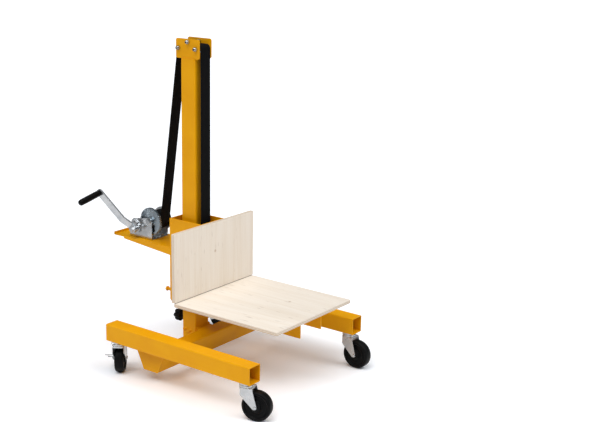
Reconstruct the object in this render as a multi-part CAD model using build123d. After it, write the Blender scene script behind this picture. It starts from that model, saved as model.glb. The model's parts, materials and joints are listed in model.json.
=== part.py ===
from build123d import *
import os
from math import acos, atan2, cos, degrees, hypot, pi, radians, sin, sqrt, tan

# Manual winch stacker. Millimetres, +Z up, floor at z = 0, load side towards -Y, operator towards +Y.
# X = 0 is the plane of symmetry of the base, the mast and the carriage.

# Base: two straddle legs of rectangular tube over a folded cross beam
BASE_WIDTH = 632.0
LEG_LENGTH = 628.0
LEG_WIDTH = 55.0
LEG_HEIGHT = 60.0
LEG_WALL = 3.0
LEG_CORNER = 3.5
LEG_REAR_Y = 222.7
BEAM_END_INSET = 44.0
BEAM_TOP_DEPTH = 143.0
BEAM_BOTTOM_DEPTH = 64.0
BEAM_HEIGHT = 84.0
BEAM_WALL = 4.0
BEAM_FOLD = 5.0
BEAM_Y = 58.2
MAST_STANDOFF = 18.0

# Casters
CASTER_HEIGHT = 126.0
CASTER_INSET = 31.0
CASTER_TRAIL = 36.0
WHEEL_RADIUS = 50.0
WHEEL_WIDTH = 32.0
WHEEL_RECESS = 6.0
WHEEL_HUB_RADIUS = 17.0
WHEEL_RIM = 9.0
TREAD_EDGE = 6.0
WHEEL_FILLET = 2.0
FORK_SHEET = 3.0
FORK_SIDE_GAP = 2.7
FORK_FRONT = 25.0
FORK_REAR = 21.0
FORK_SKIRT = 20.0
FORK_LIP = 5.0
FORK_CORNER = 12.0
FORK_BEND = 2.5
FORK_EYE_RADIUS = 7.5
RACE_RADIUS = 24.5
RACE_EDGE = 2.2
UPPER_RACE = 6.0
LOWER_RACE = 6.7
STEM_RADIUS = 6.0
STEM_HEAD_RADIUS = 9.5
STEM_HEAD = 6.5
STEM_NUT_RADIUS = 10.0
STEM_NUT = 10.0
AXLE_RADIUS = 5.0
AXLE_HEAD_RADIUS = 6.0
AXLE_HEAD = 3.2
BRAKE_SHEET = 3.0
BRAKE_EYE_RADIUS = 9.5
BRAKE_END_RADIUS = 6.0
BRAKE_REACH = 28.0
BRAKE_TILT = 28.0
BRAKE_EAR = 25.0
BRAKE_EAR_WIDTH = 11.0
FRONT_RIGHT_SWIVEL = 17.0
FRONT_LEFT_SWIVEL = 0.0
REAR_RIGHT_SWIVEL = 126.0
REAR_LEFT_SWIVEL = 173.0

# Mast and its head
MAST_WIDTH = 70.0
MAST_DEPTH = 62.0
MAST_WALL = 3.0
MAST_CORNER = 4.0
MAST_Y = 94.7
MAST_TOP = 1078.0
HEAD_SHEET = 4.0
HEAD_HEIGHT = 66.0
HEAD_FRONT = 48.5
HEAD_REAR = 55.0
HEAD_CORNER = 7.0
HEAD_TONGUE = 70.0
HEAD_AXLE_RISE = 34.0
FRONT_AXLE_OFFSET = 34.0
REAR_AXLE_OFFSET = 42.0
HEAD_ROLLER_RADIUS = 12.5
HEAD_BOLT_RADIUS = 5.0
HEAD_BOLT_HEAD_RADIUS = 8.0
HEAD_BOLT_HEAD = 6.5
HEAD_BOLT_END = 6.0
TIE_BOLT_DROP = 10.0

# Clamp knob at the mast's foot
KNOB_Z = 147.0
KNOB_RADIUS = 23.0
KNOB_LENGTH = 28.0
KNOB_LOBES = 6
KNOB_STUD_RADIUS = 5.0
KNOB_STANDOFF = 30.0
KNOB_BOSS_RADIUS = 12.0
KNOB_BOSS_LENGTH = 10.0

# Lifting strap
STRAP_WIDTH = 49.0
STRAP_THICKNESS = 2.5
EYE_TAIL = 60.0

# Carriage
PLATE = 4.0
CARRIAGE_WIDTH = 120.0
CARRIAGE_BOTTOM = 210.0
CARRIAGE_TOP = 520.0
ROOM_BEHIND_MAST = 31.0
ROOM_BEFORE_MAST = 45.0
ARM_LENGTH = 426.0
ARM_FLANGE = 18.0
CHEEK_CHAMFER = 13.0
CHEEK_INNER_RADIUS = 10.0
BOARD = 12.0
DECK_TOP = 277.5
DECK_WIDTH = 416.0
DECK_LENGTH = 431.0
BACK_OVERHANG = 2.0
BACK_HEIGHT = 242.0
BOARD_JOINT = 2.0
SCREW_RADIUS = 2.5
SCREW_HEAD_RADIUS = 5.0
SCREW_HEAD = 2.8
SCREW_BITE = 8.0

# Guides between the carriage and the mast
GUIDE_ROLLER_RADIUS = 13.5
GUIDE_ROLLER_LENGTH = 60.0
GUIDE_AXLE_RADIUS = 6.0
GUIDE_HEAD_RADIUS = 9.5
GUIDE_HEAD = 6.0
UPPER_ROLLER_Z = 435.0
LOWER_ROLLER_Z = 241.0
SIDE_PAD_DEPTH = 40.0
SIDE_PAD_HEIGHT = 56.0
UPPER_PAD_Z = 473.0
LOWER_PAD_Z = 245.0
REAR_PAD_WIDTH = 108.0
REAR_PAD_HEIGHT = 40.0
REAR_PAD_DEPTH = 15.0
ADJUSTER_X = 48.0
ADJUSTER_Z = 254.0
ADJUSTER_RADIUS = 5.0
ADJUSTER_REACH = 27.0
ADJUSTER_NUT_RADIUS = 8.5
ADJUSTER_NUT = 6.5
ANCHOR_Z = 457.0
ANCHOR_RADIUS = 7.0
STOP_HEIGHT = 24.0
STOP_WIDTH = 40.0
STOP_DEPTH = 18.0

# Winch tray
TRAY_SHEET = 3.0
TRAY_TOP = 415.0
TRAY_LENGTH = 271.0
TRAY_LIP = 8.0
TRAY_LAP = 18.0
TRAY_SIDE_DEPTH = 30.0
TRAY_SIDE_END_DEPTH = 9.0
TRAY_SIDE_SHORT = 49.0
TRAY_FRONT_FLANGE = 28.0

# Winch
DRUM_Y = 276.7
DRUM_ABOVE_TRAY = 67.0
WINCH_SHEET = 3.0
WINCH_WIDTH = 86.0
WINCH_FRONT = 13.0
WINCH_REAR = 95.0
WINCH_FOOT = 6.0
WINCH_BEND = 4.0
PAWL_LOBE = 10.0
WINCH_BOLT_RADIUS = 4.0
WINCH_BOLT_HEAD_RADIUS = 7.0
WINCH_BOLT_HEAD = 5.0
WINCH_BOLT_X = 24.0
WINCH_BOLT_INSET = 14.0
DRUM_BOLT_RADIUS = 6.0
DRUM_BOLT_HEAD_RADIUS = 10.0
DRUM_BOLT_HEAD = 7.0
DRUM_CORE_RADIUS = 16.0
DRUM_FLANGE_RADIUS = 43.0
DRUM_FLANGE = 2.0
COIL_RADIUS = 36.0
GEAR_MODULE = 2.0
GEAR_TEETH = 48
PINION_TEETH = 12
GEAR_PRESSURE = 25.0
GEAR_ADDENDUM = 0.85
GEAR_DEDENDUM = 1.15
GEAR_BACKLASH = 0.5
GEAR_WIDTH = 9.0
GEAR_DISH = 3.0
GEAR_RIM = 5.0
GEAR_BOSS_RADIUS = 18.0
PINION_WIDTH = 12.0
PINION_DIRECTION = -31.0
SHAFT_RADIUS = 7.0
RATCHET_RADIUS = 15.0
RATCHET_TOOTH = 3.0
RATCHET_TEETH = 12
RATCHET_WIDTH = 5.0
PAWL_PIVOT_Y = 20.0
PAWL_PIVOT_Z = 22.5
PAWL_PIN_RADIUS = 4.0
PAWL_EYE_RADIUS = 8.0
PAWL_TIP_DIRECTION = 82.0
PAWL_TIP_WIDTH = 5.0

# Crank
CRANK_DIRECTION = 46.3
CRANK_RADIUS = 172.0
CRANK_WIDTH = 26.0
CRANK_SHEET = 7.0
CRANK_HUB_X = 70.0
CRANK_RAMP_START = 18.0
CRANK_RAMP_END = 48.0
CRANK_RAMP_OFFSET = 20.0
CRANK_LEAN = 11.0
CRANK_NUT_RADIUS = 9.0
CRANK_NUT = 8.0
SPACER_RADIUS = 10.0
GRIP_RADIUS = 11.5
GRIP_LENGTH = 110.0
GRIP_END = 8.0
GRIP_ROUND = 5.0
GRIP_BOLT_RADIUS = 4.0
GRIP_BOLT_HEAD_RADIUS = 7.5
GRIP_BOLT_HEAD = 5.0

# Clearances
RUNNING = 0.06
HOLE = 0.1
GAP = 0.3

# Places that several pieces share
LEG_X = (BASE_WIDTH - LEG_WIDTH) / 2
BEAM_LENGTH = BASE_WIDTH - 2 * BEAM_END_INSET
BEAM_BOTTOM = CASTER_HEIGHT - BEAM_HEIGHT
LEG_FRONT_Y = LEG_REAR_Y - LEG_LENGTH
MAST_FRONT = MAST_Y - MAST_DEPTH / 2
MAST_REAR = MAST_Y + MAST_DEPTH / 2
HALF_CARRIAGE = CARRIAGE_WIDTH / 2
CHEEK_INNER = HALF_CARRIAGE - PLATE
FRONT_PLATE_INNER = MAST_FRONT - ROOM_BEFORE_MAST
BACK_REAR = FRONT_PLATE_INNER - PLATE
BACK_FRONT = BACK_REAR - BOARD
REAR_PLATE_INNER = MAST_REAR + ROOM_BEHIND_MAST
CARRIAGE_REAR = REAR_PLATE_INNER + PLATE
DECK_UNDERSIDE = DECK_TOP - BOARD
BACK_WIDTH = DECK_WIDTH + 2 * BACK_OVERHANG
HEAD_OUTER = MAST_WIDTH / 2 - MAST_WALL
HEAD_INNER = HEAD_OUTER - HEAD_SHEET
HEAD_AXLE_Z = MAST_TOP + HEAD_AXLE_RISE
FRONT_AXLE_Y = MAST_Y - FRONT_AXLE_OFFSET
REAR_AXLE_Y = MAST_Y + REAR_AXLE_OFFSET
STRAP_INNER_RADIUS = HEAD_ROLLER_RADIUS + GAP
STRAP_OUTER_RADIUS = STRAP_INNER_RADIUS + STRAP_THICKNESS
STRAP_FRONT_Y = FRONT_AXLE_Y - (STRAP_INNER_RADIUS + STRAP_OUTER_RADIUS) / 2
DRUM_Z = TRAY_TOP + DRUM_ABOVE_TRAY
CENTRE_DISTANCE = GEAR_MODULE * (GEAR_TEETH + PINION_TEETH) / 2
PINION_Y = DRUM_Y + CENTRE_DISTANCE * cos(radians(PINION_DIRECTION))
PINION_Z = DRUM_Z + CENTRE_DISTANCE * sin(radians(PINION_DIRECTION))
WINCH_OUTER = WINCH_WIDTH / 2
WINCH_INNER = WINCH_OUTER - WINCH_SHEET
GEAR_INNER_X = STRAP_WIDTH / 2 + 2.5
GEAR_OUTER_X = GEAR_INNER_X + GEAR_WIDTH
PAWL_Y = PINION_Y + PAWL_PIVOT_Y
PAWL_Z = PINION_Z + PAWL_PIVOT_Z
FORK_INNER = WHEEL_WIDTH / 2 + FORK_SIDE_GAP
FORK_OUTER = FORK_INNER + FORK_SHEET
FORK_CROWN_TOP = CASTER_HEIGHT - UPPER_RACE - GAP - LOWER_RACE
CASTERS = {
    "front_right": (-LEG_X, LEG_FRONT_Y + CASTER_INSET, FRONT_RIGHT_SWIVEL),
    "front_left": (LEG_X, LEG_FRONT_Y + CASTER_INSET, FRONT_LEFT_SWIVEL),
    "rear_right": (-LEG_X, LEG_REAR_Y - CASTER_INSET, REAR_RIGHT_SWIVEL),
    "rear_left": (LEG_X, LEG_REAR_Y - CASTER_INSET, REAR_LEFT_SWIVEL),
}


def block(x, y, z):
    """Box between a low and a high value on each axis."""
    centre = Pos((x[0] + x[1]) / 2, (y[0] + y[1]) / 2, (z[0] + z[1]) / 2)
    return centre * Box(x[1] - x[0], y[1] - y[0], z[1] - z[0])


def rod_x(radius, x, y, z):
    """Round bar along X from x[0] to x[1]."""
    return Pos((x[0] + x[1]) / 2, y, z) * Rot(0, 90, 0) * Cylinder(radius, x[1] - x[0])


def rod_y(radius, x, y, z):
    """Round bar along Y from y[0] to y[1]."""
    return Pos(x, (y[0] + y[1]) / 2, z) * Rot(90, 0, 0) * Cylinder(radius, y[1] - y[0])


def rod_z(radius, x, y, z):
    """Round bar along Z from z[0] to z[1]."""
    return Pos(x, y, (z[0] + z[1]) / 2) * Cylinder(radius, z[1] - z[0])


def hex_x(radius, x, y, z):
    """Hexagon bar along X, radius to its corners."""
    return extrude(Plane.YZ.offset(x[0]) * (Pos(y, z) * RegularPolygon(radius, 6)), x[1] - x[0])


def hex_y(radius, x, y, z):
    """Hexagon bar along Y, radius to its corners."""
    return extrude(Plane.XZ.offset(-y[1]) * (Pos(x, z) * RegularPolygon(radius, 6)), y[1] - y[0])


def hex_z(radius, x, y, z):
    """Hexagon bar along Z, radius to its corners."""
    return extrude(Plane.XY.offset(z[0]) * (Pos(x, y) * RegularPolygon(radius, 6)), z[1] - z[0])


def outline(*points):
    """Closed face through the given points."""
    return make_face(Polyline(*points, close=True))


def plate_x(face, x):
    """Extrude a face drawn in (Y, Z) from x[0] to x[1]."""
    return extrude(Plane.YZ.offset(x[0]) * face, x[1] - x[0])


def leg(side):
    """One straddle leg: a rounded rectangular tube, open at both ends, with its stem holes."""
    outer = RectangleRounded(LEG_WIDTH, LEG_HEIGHT, LEG_CORNER)
    inner = RectangleRounded(LEG_WIDTH - 2 * LEG_WALL, LEG_HEIGHT - 2 * LEG_WALL, LEG_CORNER / 4)
    place = Pos(side * LEG_X, CASTER_HEIGHT + LEG_HEIGHT / 2)
    tube = extrude(Plane.XZ.offset(-LEG_REAR_Y) * (place * (outer - inner)), LEG_LENGTH)
    floor = (CASTER_HEIGHT - LEG_WALL, CASTER_HEIGHT + 2 * LEG_WALL)
    for y in (LEG_FRONT_Y + CASTER_INSET, LEG_REAR_Y - CASTER_INSET):
        tube -= rod_z(STEM_RADIUS + HOLE, side * LEG_X, y, floor)
    return tube


def beam_section():
    """Folded trapezoid, wide side up, under the legs."""
    face = outline(
        (BEAM_Y - BEAM_TOP_DEPTH / 2, CASTER_HEIGHT),
        (BEAM_Y - BEAM_BOTTOM_DEPTH / 2, BEAM_BOTTOM),
        (BEAM_Y + BEAM_BOTTOM_DEPTH / 2, BEAM_BOTTOM),
        (BEAM_Y + BEAM_TOP_DEPTH / 2, CASTER_HEIGHT),
    )
    return fillet(face.vertices(), BEAM_FOLD)


def cross_beam():
    """Hollow folded beam between its end plates: a sloping front, an upright back and a block for the mast."""
    back = MAST_FRONT - MAST_STANDOFF
    middle = Pos(back - BEAM_TOP_DEPTH, CASTER_HEIGHT)
    section = beam_section() & (middle * Rectangle(2 * BEAM_TOP_DEPTH, 3 * BEAM_HEIGHT))
    end = BEAM_LENGTH / 2 - PLATE
    beam = plate_x(section - offset(section, -BEAM_WALL), (-end, end))
    return beam + block((-MAST_WIDTH / 2, MAST_WIDTH / 2), (back, MAST_FRONT), (BEAM_BOTTOM, CASTER_HEIGHT))


def beam_end_plates():
    """Trapezoid plates on the beam's two ends, under the legs."""
    end = BEAM_LENGTH / 2
    return [plate_x(beam_section(), (-end, -end + PLATE)), plate_x(beam_section(), (end - PLATE, end))]


def mast_post():
    """Square mast tube against the beam's back, with the knob's stud hole in its rear wall."""
    outer = RectangleRounded(MAST_WIDTH, MAST_DEPTH, MAST_CORNER)
    inner = RectangleRounded(MAST_WIDTH - 2 * MAST_WALL, MAST_DEPTH - 2 * MAST_WALL, MAST_CORNER / 4)
    tube = extrude(Plane.XY.offset(BEAM_BOTTOM) * (Pos(0, MAST_Y) * (outer - inner)), MAST_TOP - BEAM_BOTTOM)
    return tube - rod_y(KNOB_STUD_RADIUS + RUNNING, 0, (MAST_Y, MAST_REAR + PLATE), KNOB_Z)


def head_bolt_places():
    """(Y, Z) of the two roller axles and of the tie bolt above them."""
    return [
        (FRONT_AXLE_Y, HEAD_AXLE_Z),
        (REAR_AXLE_Y, HEAD_AXLE_Z),
        (MAST_Y, MAST_TOP + HEAD_HEIGHT - TIE_BOLT_DROP),
    ]


def head_plate(side):
    """Mast-head side plate: a wide cheek above the tube and a tongue inside it."""
    middle = (MAST_Y + (HEAD_REAR - HEAD_FRONT) / 2, MAST_TOP + HEAD_HEIGHT / 2)
    cheek = Pos(*middle) * RectangleRounded(HEAD_FRONT + HEAD_REAR, HEAD_HEIGHT, HEAD_CORNER)
    tongue_depth = MAST_DEPTH - 2 * MAST_CORNER
    tongue = Pos(MAST_Y, MAST_TOP) * Rectangle(tongue_depth, 2 * HEAD_TONGUE)
    tongue_middle = Pos(MAST_Y, MAST_TOP - HEAD_TONGUE / 2 + HEAD_CORNER)
    keep = tongue_middle * Rectangle(tongue_depth, HEAD_TONGUE + 2 * HEAD_CORNER)
    face = cheek + (tongue & keep)
    for y, z in head_bolt_places():
        face -= Pos(y, z) * Circle(HEAD_BOLT_RADIUS + HOLE)
    x = sorted((side * HEAD_INNER, side * HEAD_OUTER))
    return plate_x(face, x)


def head_bolts():
    """Two roller axles and a tie bolt, each with its head, its nut and the end of its thread."""
    bolts = []
    for y, z in head_bolt_places():
        outer = HEAD_OUTER + HEAD_BOLT_HEAD
        shank = rod_x(HEAD_BOLT_RADIUS, (-outer - HEAD_BOLT_END, outer), y, z)
        shank = chamfer(shank.edges().sort_by(Axis.X)[0], HEAD_BOLT_RADIUS * 0.2)
        nut = hex_x(HEAD_BOLT_HEAD_RADIUS, (-outer, -HEAD_OUTER), y, z)
        head = hex_x(HEAD_BOLT_HEAD_RADIUS, (HEAD_OUTER, outer), y, z)
        bolts.append(shank + head + nut)
    return bolts


def head_roller(y):
    """Plain sleeve that turns on a head bolt and carries the strap."""
    x = (-HEAD_INNER + GAP, HEAD_INNER - GAP)
    return rod_x(HEAD_ROLLER_RADIUS, x, y, HEAD_AXLE_Z) - rod_x(HEAD_BOLT_RADIUS + RUNNING, x, y, HEAD_AXLE_Z)


def rear_strap_slope():
    """Angle from the vertical of the rear run, the inner tangent of the head roller and the coil."""
    reach = (STRAP_INNER_RADIUS + STRAP_OUTER_RADIUS) / 2 + COIL_RADIUS + GAP + STRAP_THICKNESS / 2
    dy = DRUM_Y - REAR_AXLE_Y
    dz = HEAD_AXLE_Z - DRUM_Z
    return acos(reach / hypot(dy, dz)) - atan2(dz, dy)


def strap_front():
    """Front run: from the head roller straight down to the sewn eye."""
    y = (STRAP_FRONT_Y - STRAP_THICKNESS / 2, STRAP_FRONT_Y + STRAP_THICKNESS / 2)
    z = (ANCHOR_Z + EYE_TAIL + GAP, HEAD_AXLE_Z)
    return block((-STRAP_WIDTH / 2, STRAP_WIDTH / 2), y, z)


def strap_top():
    """Run over the two head rollers: a quarter turn, a flat and the rest of the rear wrap."""
    slope = rear_strap_slope()
    front = Pos(FRONT_AXLE_Y, HEAD_AXLE_Z)
    rear = Pos(REAR_AXLE_Y, HEAD_AXLE_Z)
    ring = Circle(STRAP_OUTER_RADIUS) - Circle(STRAP_INNER_RADIUS)
    size = 2 * STRAP_OUTER_RADIUS
    front_wrap = front * (ring & (Pos(-size / 2, size / 2) * Rectangle(size, size)))
    rear_cut = Pos(size / 2, size / 2) * Rectangle(size, size)
    rear_cut -= outline((0, 0), (size, 0), (size, size * tan(slope)))
    rear_wrap = rear * (ring & rear_cut)
    flat = outline(
        (FRONT_AXLE_Y, HEAD_AXLE_Z + STRAP_INNER_RADIUS),
        (REAR_AXLE_Y, HEAD_AXLE_Z + STRAP_INNER_RADIUS),
        (REAR_AXLE_Y, HEAD_AXLE_Z + STRAP_OUTER_RADIUS),
        (FRONT_AXLE_Y, HEAD_AXLE_Z + STRAP_OUTER_RADIUS),
    )
    return plate_x(front_wrap + flat + rear_wrap, (-STRAP_WIDTH / 2, STRAP_WIDTH / 2))


def strap_rear():
    """Rear run: straight from the rear head roller to the front of the coil on the drum."""
    slope = rear_strap_slope()
    normal = (cos(slope), sin(slope))
    top = (REAR_AXLE_Y + STRAP_INNER_RADIUS * normal[0], HEAD_AXLE_Z + STRAP_INNER_RADIUS * normal[1])
    coil = COIL_RADIUS + GAP
    low = (DRUM_Y - coil * normal[0], DRUM_Z - coil * normal[1])
    out = STRAP_THICKNESS
    face = outline(
        top,
        (top[0] + out * normal[0], top[1] + out * normal[1]),
        low,
        (low[0] - out * normal[0], low[1] - out * normal[1]),
    )
    return plate_x(face, (-STRAP_WIDTH / 2, STRAP_WIDTH / 2))


def strap_eye():
    """Sewn loop round the anchor pin, with the doubled tail above it."""
    pin = Pos(STRAP_FRONT_Y, ANCHOR_Z)
    inner = ANCHOR_RADIUS + HOLE
    loop = pin * Circle(inner + STRAP_THICKNESS)
    tail = Pos(STRAP_FRONT_Y, ANCHOR_Z + EYE_TAIL / 2) * Rectangle(2 * STRAP_THICKNESS, EYE_TAIL)
    return plate_x(loop + tail - pin * Circle(inner), (-STRAP_WIDTH / 2, STRAP_WIDTH / 2))


def lower_stop():
    """Block on the mast's rear face that the rear guide pad comes down on."""
    top = ADJUSTER_Z - REAR_PAD_HEIGHT / 2 - GAP
    y = (MAST_REAR, MAST_REAR + STOP_DEPTH)
    return block((-STOP_WIDTH / 2, STOP_WIDTH / 2), y, (top - STOP_HEIGHT, top))


def knob_boss():
    """Threaded boss on the mast's rear face."""
    y = (MAST_REAR, MAST_REAR + KNOB_BOSS_LENGTH)
    return rod_y(KNOB_BOSS_RADIUS, 0, y, KNOB_Z) - rod_y(KNOB_STUD_RADIUS + RUNNING, 0, y, KNOB_Z)


def star_knob():
    """Lobed knob with a domed end, its neck and its stud."""
    start = MAST_REAR + KNOB_STANDOFF
    lobe_radius = KNOB_RADIUS * sin(pi / KNOB_LOBES) * 0.62
    lobe_pitch = KNOB_RADIUS - lobe_radius
    face = Circle(lobe_pitch)
    for n in range(KNOB_LOBES):
        face += Rot(0, 0, 360 * n / KNOB_LOBES) * (Pos(lobe_pitch, 0) * Circle(lobe_radius))
    back = Plane((0, start + KNOB_LENGTH, KNOB_Z), (1, 0, 0), (0, -1, 0))
    head = extrude(back * face, KNOB_LENGTH)
    neck = rod_y(KNOB_BOSS_RADIUS, 0, (MAST_REAR + KNOB_BOSS_LENGTH + GAP, start), KNOB_Z)
    stud = rod_y(KNOB_STUD_RADIUS, 0, (MAST_REAR - 2 * MAST_WALL, start), KNOB_Z)
    return chamfer(head.faces().sort_by(Axis.Y)[-1].edges(), 2.0) + neck + stud


def caster_stems():
    """Stem bolts through the leg floors: head below the fork, nut inside the tube."""
    head_top = FORK_CROWN_TOP - FORK_SHEET - GAP
    nut_low = CASTER_HEIGHT + LEG_WALL
    stems = []
    for x, y, turn in CASTERS.values():
        shank = rod_z(STEM_RADIUS, x, y, (head_top - STEM_HEAD, nut_low + STEM_NUT + LEG_WALL))
        head = rod_z(STEM_HEAD_RADIUS, x, y, (head_top - STEM_HEAD, head_top))
        stems.append(shank + head + hex_z(STEM_NUT_RADIUS, x, y, (nut_low, nut_low + STEM_NUT)))
    return stems


def caster_races():
    """Fixed upper races, pressed rings against the leg floors."""
    z = (CASTER_HEIGHT - UPPER_RACE, CASTER_HEIGHT)
    races = []
    for x, y, turn in CASTERS.values():
        cup = rod_z(RACE_RADIUS, x, y, z)
        cup = fillet(cup.edges().sort_by(Axis.Z)[0], RACE_EDGE)
        races.append(cup - rod_z(STEM_RADIUS + HOLE, x, y, z))
    return races


def at_caster(name, shape):
    """Turn a piece drawn about the swivel axis, trail towards -Y, to its place under a leg."""
    x, y, turn = CASTERS[name]
    return Pos(x, y, 0) * Rot(0, 0, turn) * shape


def fork(name):
    """Pressed fork: lower race, crown with a lip behind, two tapered legs down to the axle."""
    crown_low = FORK_CROWN_TOP - FORK_SHEET
    low = WHEEL_RADIUS - FORK_EYE_RADIUS
    ahead = -CASTER_TRAIL - FORK_EYE_RADIUS
    side = outline(
        (-FORK_FRONT, FORK_CROWN_TOP),
        (ahead, low),
        (-CASTER_TRAIL + FORK_EYE_RADIUS, low),
        (FORK_REAR, crown_low - FORK_SKIRT),
        (FORK_REAR, FORK_CROWN_TOP),
    )
    side = fillet(side.vertices().sort_by(Axis.Y)[:2], FORK_EYE_RADIUS * 0.95)
    outer = fork_plan(FORK_OUTER, ahead, FORK_REAR, FORK_CORNER)
    inner = fork_plan(FORK_INNER, ahead, FORK_REAR - FORK_SHEET, FORK_CORNER - FORK_SHEET)
    shell = extrude(Plane.XY.offset(low) * outer, FORK_CROWN_TOP - low)
    shell -= extrude(Plane.XY.offset(low) * inner, crown_low - low)
    body = shell & plate_x(side, (-FORK_OUTER, FORK_OUTER))
    body -= block((-FORK_INNER, FORK_INNER), (0, 2 * FORK_REAR), (low, crown_low - FORK_LIP))
    crown = body.faces().sort_by(Axis.Z)[-1]
    bends = [edge for edge in crown.edges() if edge.center().Y > -FORK_FRONT + GAP]
    body = fillet(bends, FORK_BEND)
    race = rod_z(RACE_RADIUS, 0, 0, (FORK_CROWN_TOP, FORK_CROWN_TOP + LOWER_RACE))
    body += fillet(race.edges(), RACE_EDGE)
    body -= rod_z(STEM_RADIUS + RUNNING, 0, 0, (crown_low, CASTER_HEIGHT))
    body -= rod_x(AXLE_RADIUS + HOLE, (-2 * FORK_OUTER, 2 * FORK_OUTER), -CASTER_TRAIL, WHEEL_RADIUS)
    return at_caster(name, body)


def fork_plan(half, front, rear, corner):
    """Plan of the fork's sheet: straight sides, rounded behind."""
    face = outline((-half, front), (half, front), (half, rear), (-half, rear))
    return fillet(face.vertices().sort_by(Axis.Y)[-2:], corner)


def rivet_head(x, outward):
    """Low domed head on the axle, from x[0] to x[1], rounded on its outward end."""
    head = rod_x(AXLE_HEAD_RADIUS, x, -CASTER_TRAIL, WHEEL_RADIUS)
    rim = head.edges().sort_by(Axis.X)[-1 if outward > 0 else 0]
    return fillet(rim, AXLE_HEAD * 0.7)


def axle(name, braked):
    """Riveted axle; a braked one also carries the lever."""
    right = FORK_OUTER + (BRAKE_SHEET + 2 * GAP if braked else 0)
    shank = rod_x(AXLE_RADIUS, (-FORK_OUTER - AXLE_HEAD / 2, right + AXLE_HEAD / 2), -CASTER_TRAIL, WHEEL_RADIUS)
    shank += rivet_head((-FORK_OUTER - AXLE_HEAD, -FORK_OUTER), -1)
    shank += rivet_head((right, right + AXLE_HEAD), 1)
    return at_caster(name, shank)


def wheel(name):
    """Moulded wheel: flat tread with rounded edges, recessed web, long hub."""
    half = WHEEL_WIDTH / 2
    hub = FORK_INNER - GAP
    web = half - WHEEL_RECESS
    rim = WHEEL_RADIUS - WHEEL_RIM
    bore = AXLE_RADIUS + RUNNING
    right = [(0, bore), (hub, bore), (hub, WHEEL_HUB_RADIUS), (web, WHEEL_HUB_RADIUS + WHEEL_RECESS / 2)]
    right += [(web, rim - WHEEL_RECESS / 2), (half, rim), (half, WHEEL_RADIUS)]
    left = [(-x, r) for x, r in reversed(right[1:])]
    face = outline(*right, *left)
    tread = [v for v in face.vertices() if v.Y > WHEEL_RADIUS - GAP]
    face = fillet(tread, TREAD_EDGE)
    web_corners = [v for v in face.vertices() if abs(abs(v.X) - web) < GAP and v.Y < rim]
    face = fillet(web_corners, WHEEL_FILLET)
    solid = revolve(Plane.XY * face, Axis.X)
    return at_caster(name, Pos(0, -CASTER_TRAIL, WHEEL_RADIUS) * solid)


def brake_lever(name):
    """Pressed rocker on the axle, with a foot ear folded outwards at each end."""
    x = (FORK_OUTER + GAP, FORK_OUTER + GAP + BRAKE_SHEET)
    ends = [Pos(-BRAKE_REACH, 0) * Circle(BRAKE_END_RADIUS), Pos(BRAKE_REACH, 0) * Circle(BRAKE_END_RADIUS)]
    middle = Circle(BRAKE_EYE_RADIUS)
    face = make_hull(ends[0].edges() + middle.edges()) + make_hull(ends[1].edges() + middle.edges())
    lever = plate_x(face, x)
    top = BRAKE_END_RADIUS
    for side in (-1, 1):
        ear_y = (side * BRAKE_REACH - BRAKE_EAR_WIDTH / 2, side * BRAKE_REACH + BRAKE_EAR_WIDTH / 2)
        ear = block((x[0], x[1] + BRAKE_EAR), ear_y, (top - BRAKE_SHEET, top))
        corners = ear.edges().filter_by(Axis.Z).group_by(Axis.X)[-1]
        lever += fillet(corners, BRAKE_EAR_WIDTH * 0.4)
    lever -= rod_x(AXLE_RADIUS + RUNNING, (x[0] - GAP, x[1] + GAP), 0, 0)
    return at_caster(name, Pos(0, -CASTER_TRAIL, WHEEL_RADIUS) * Rot(BRAKE_TILT, 0, 0) * lever)


def axle_places():
    """(Y, Z) of the upper rear and lower front guide rollers, which take the load's tilt."""
    reach = GUIDE_ROLLER_RADIUS + GAP
    return [(MAST_REAR + reach, UPPER_ROLLER_Z), (MAST_FRONT - reach, LOWER_ROLLER_Z)]


def cheek(side):
    """L-shaped side plate: an upright beside the mast and an arm with a folded flange under the deck."""
    face = outline(
        (BACK_REAR - ARM_LENGTH, CARRIAGE_BOTTOM),
        (CARRIAGE_REAR - CHEEK_CHAMFER, CARRIAGE_BOTTOM),
        (CARRIAGE_REAR, CARRIAGE_BOTTOM + CHEEK_CHAMFER),
        (CARRIAGE_REAR, CARRIAGE_TOP),
        (BACK_REAR, CARRIAGE_TOP),
        (BACK_REAR, DECK_UNDERSIDE),
        (BACK_REAR - ARM_LENGTH, DECK_UNDERSIDE),
    )
    corner = [v for v in face.vertices() if abs(v.X - BACK_REAR) < GAP and abs(v.Y - DECK_UNDERSIDE) < GAP]
    face = fillet(corner, CHEEK_INNER_RADIUS)
    for y, z in axle_places():
        face -= Pos(y, z) * Circle(GUIDE_AXLE_RADIUS + HOLE)
    face -= Pos(STRAP_FRONT_Y, ANCHOR_Z) * Circle(ANCHOR_RADIUS + HOLE)
    plate = plate_x(face, sorted((side * CHEEK_INNER, side * HALF_CARRIAGE)))
    flange_x = sorted((side * (CHEEK_INNER - ARM_FLANGE), side * CHEEK_INNER))
    flange_y = (BACK_REAR - ARM_LENGTH, BACK_FRONT)
    plate += block(flange_x, flange_y, (DECK_UNDERSIDE - PLATE, DECK_UNDERSIDE))
    for x, y in deck_screw_places():
        plate -= rod_z(SCREW_RADIUS + HOLE, x, y, (CARRIAGE_BOTTOM, DECK_TOP))
    return plate


def deck_screw_places():
    """(X, Y) of the screws that rise through the arm flanges into the deck."""
    x = CHEEK_INNER - ARM_FLANGE / 2
    front = BACK_REAR - ARM_LENGTH + BOARD * 3
    rear = BACK_FRONT - BOARD * 3
    return [(s * x, y) for s in (-1, 1) for y in (front, (front + rear) / 2, rear)]


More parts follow.
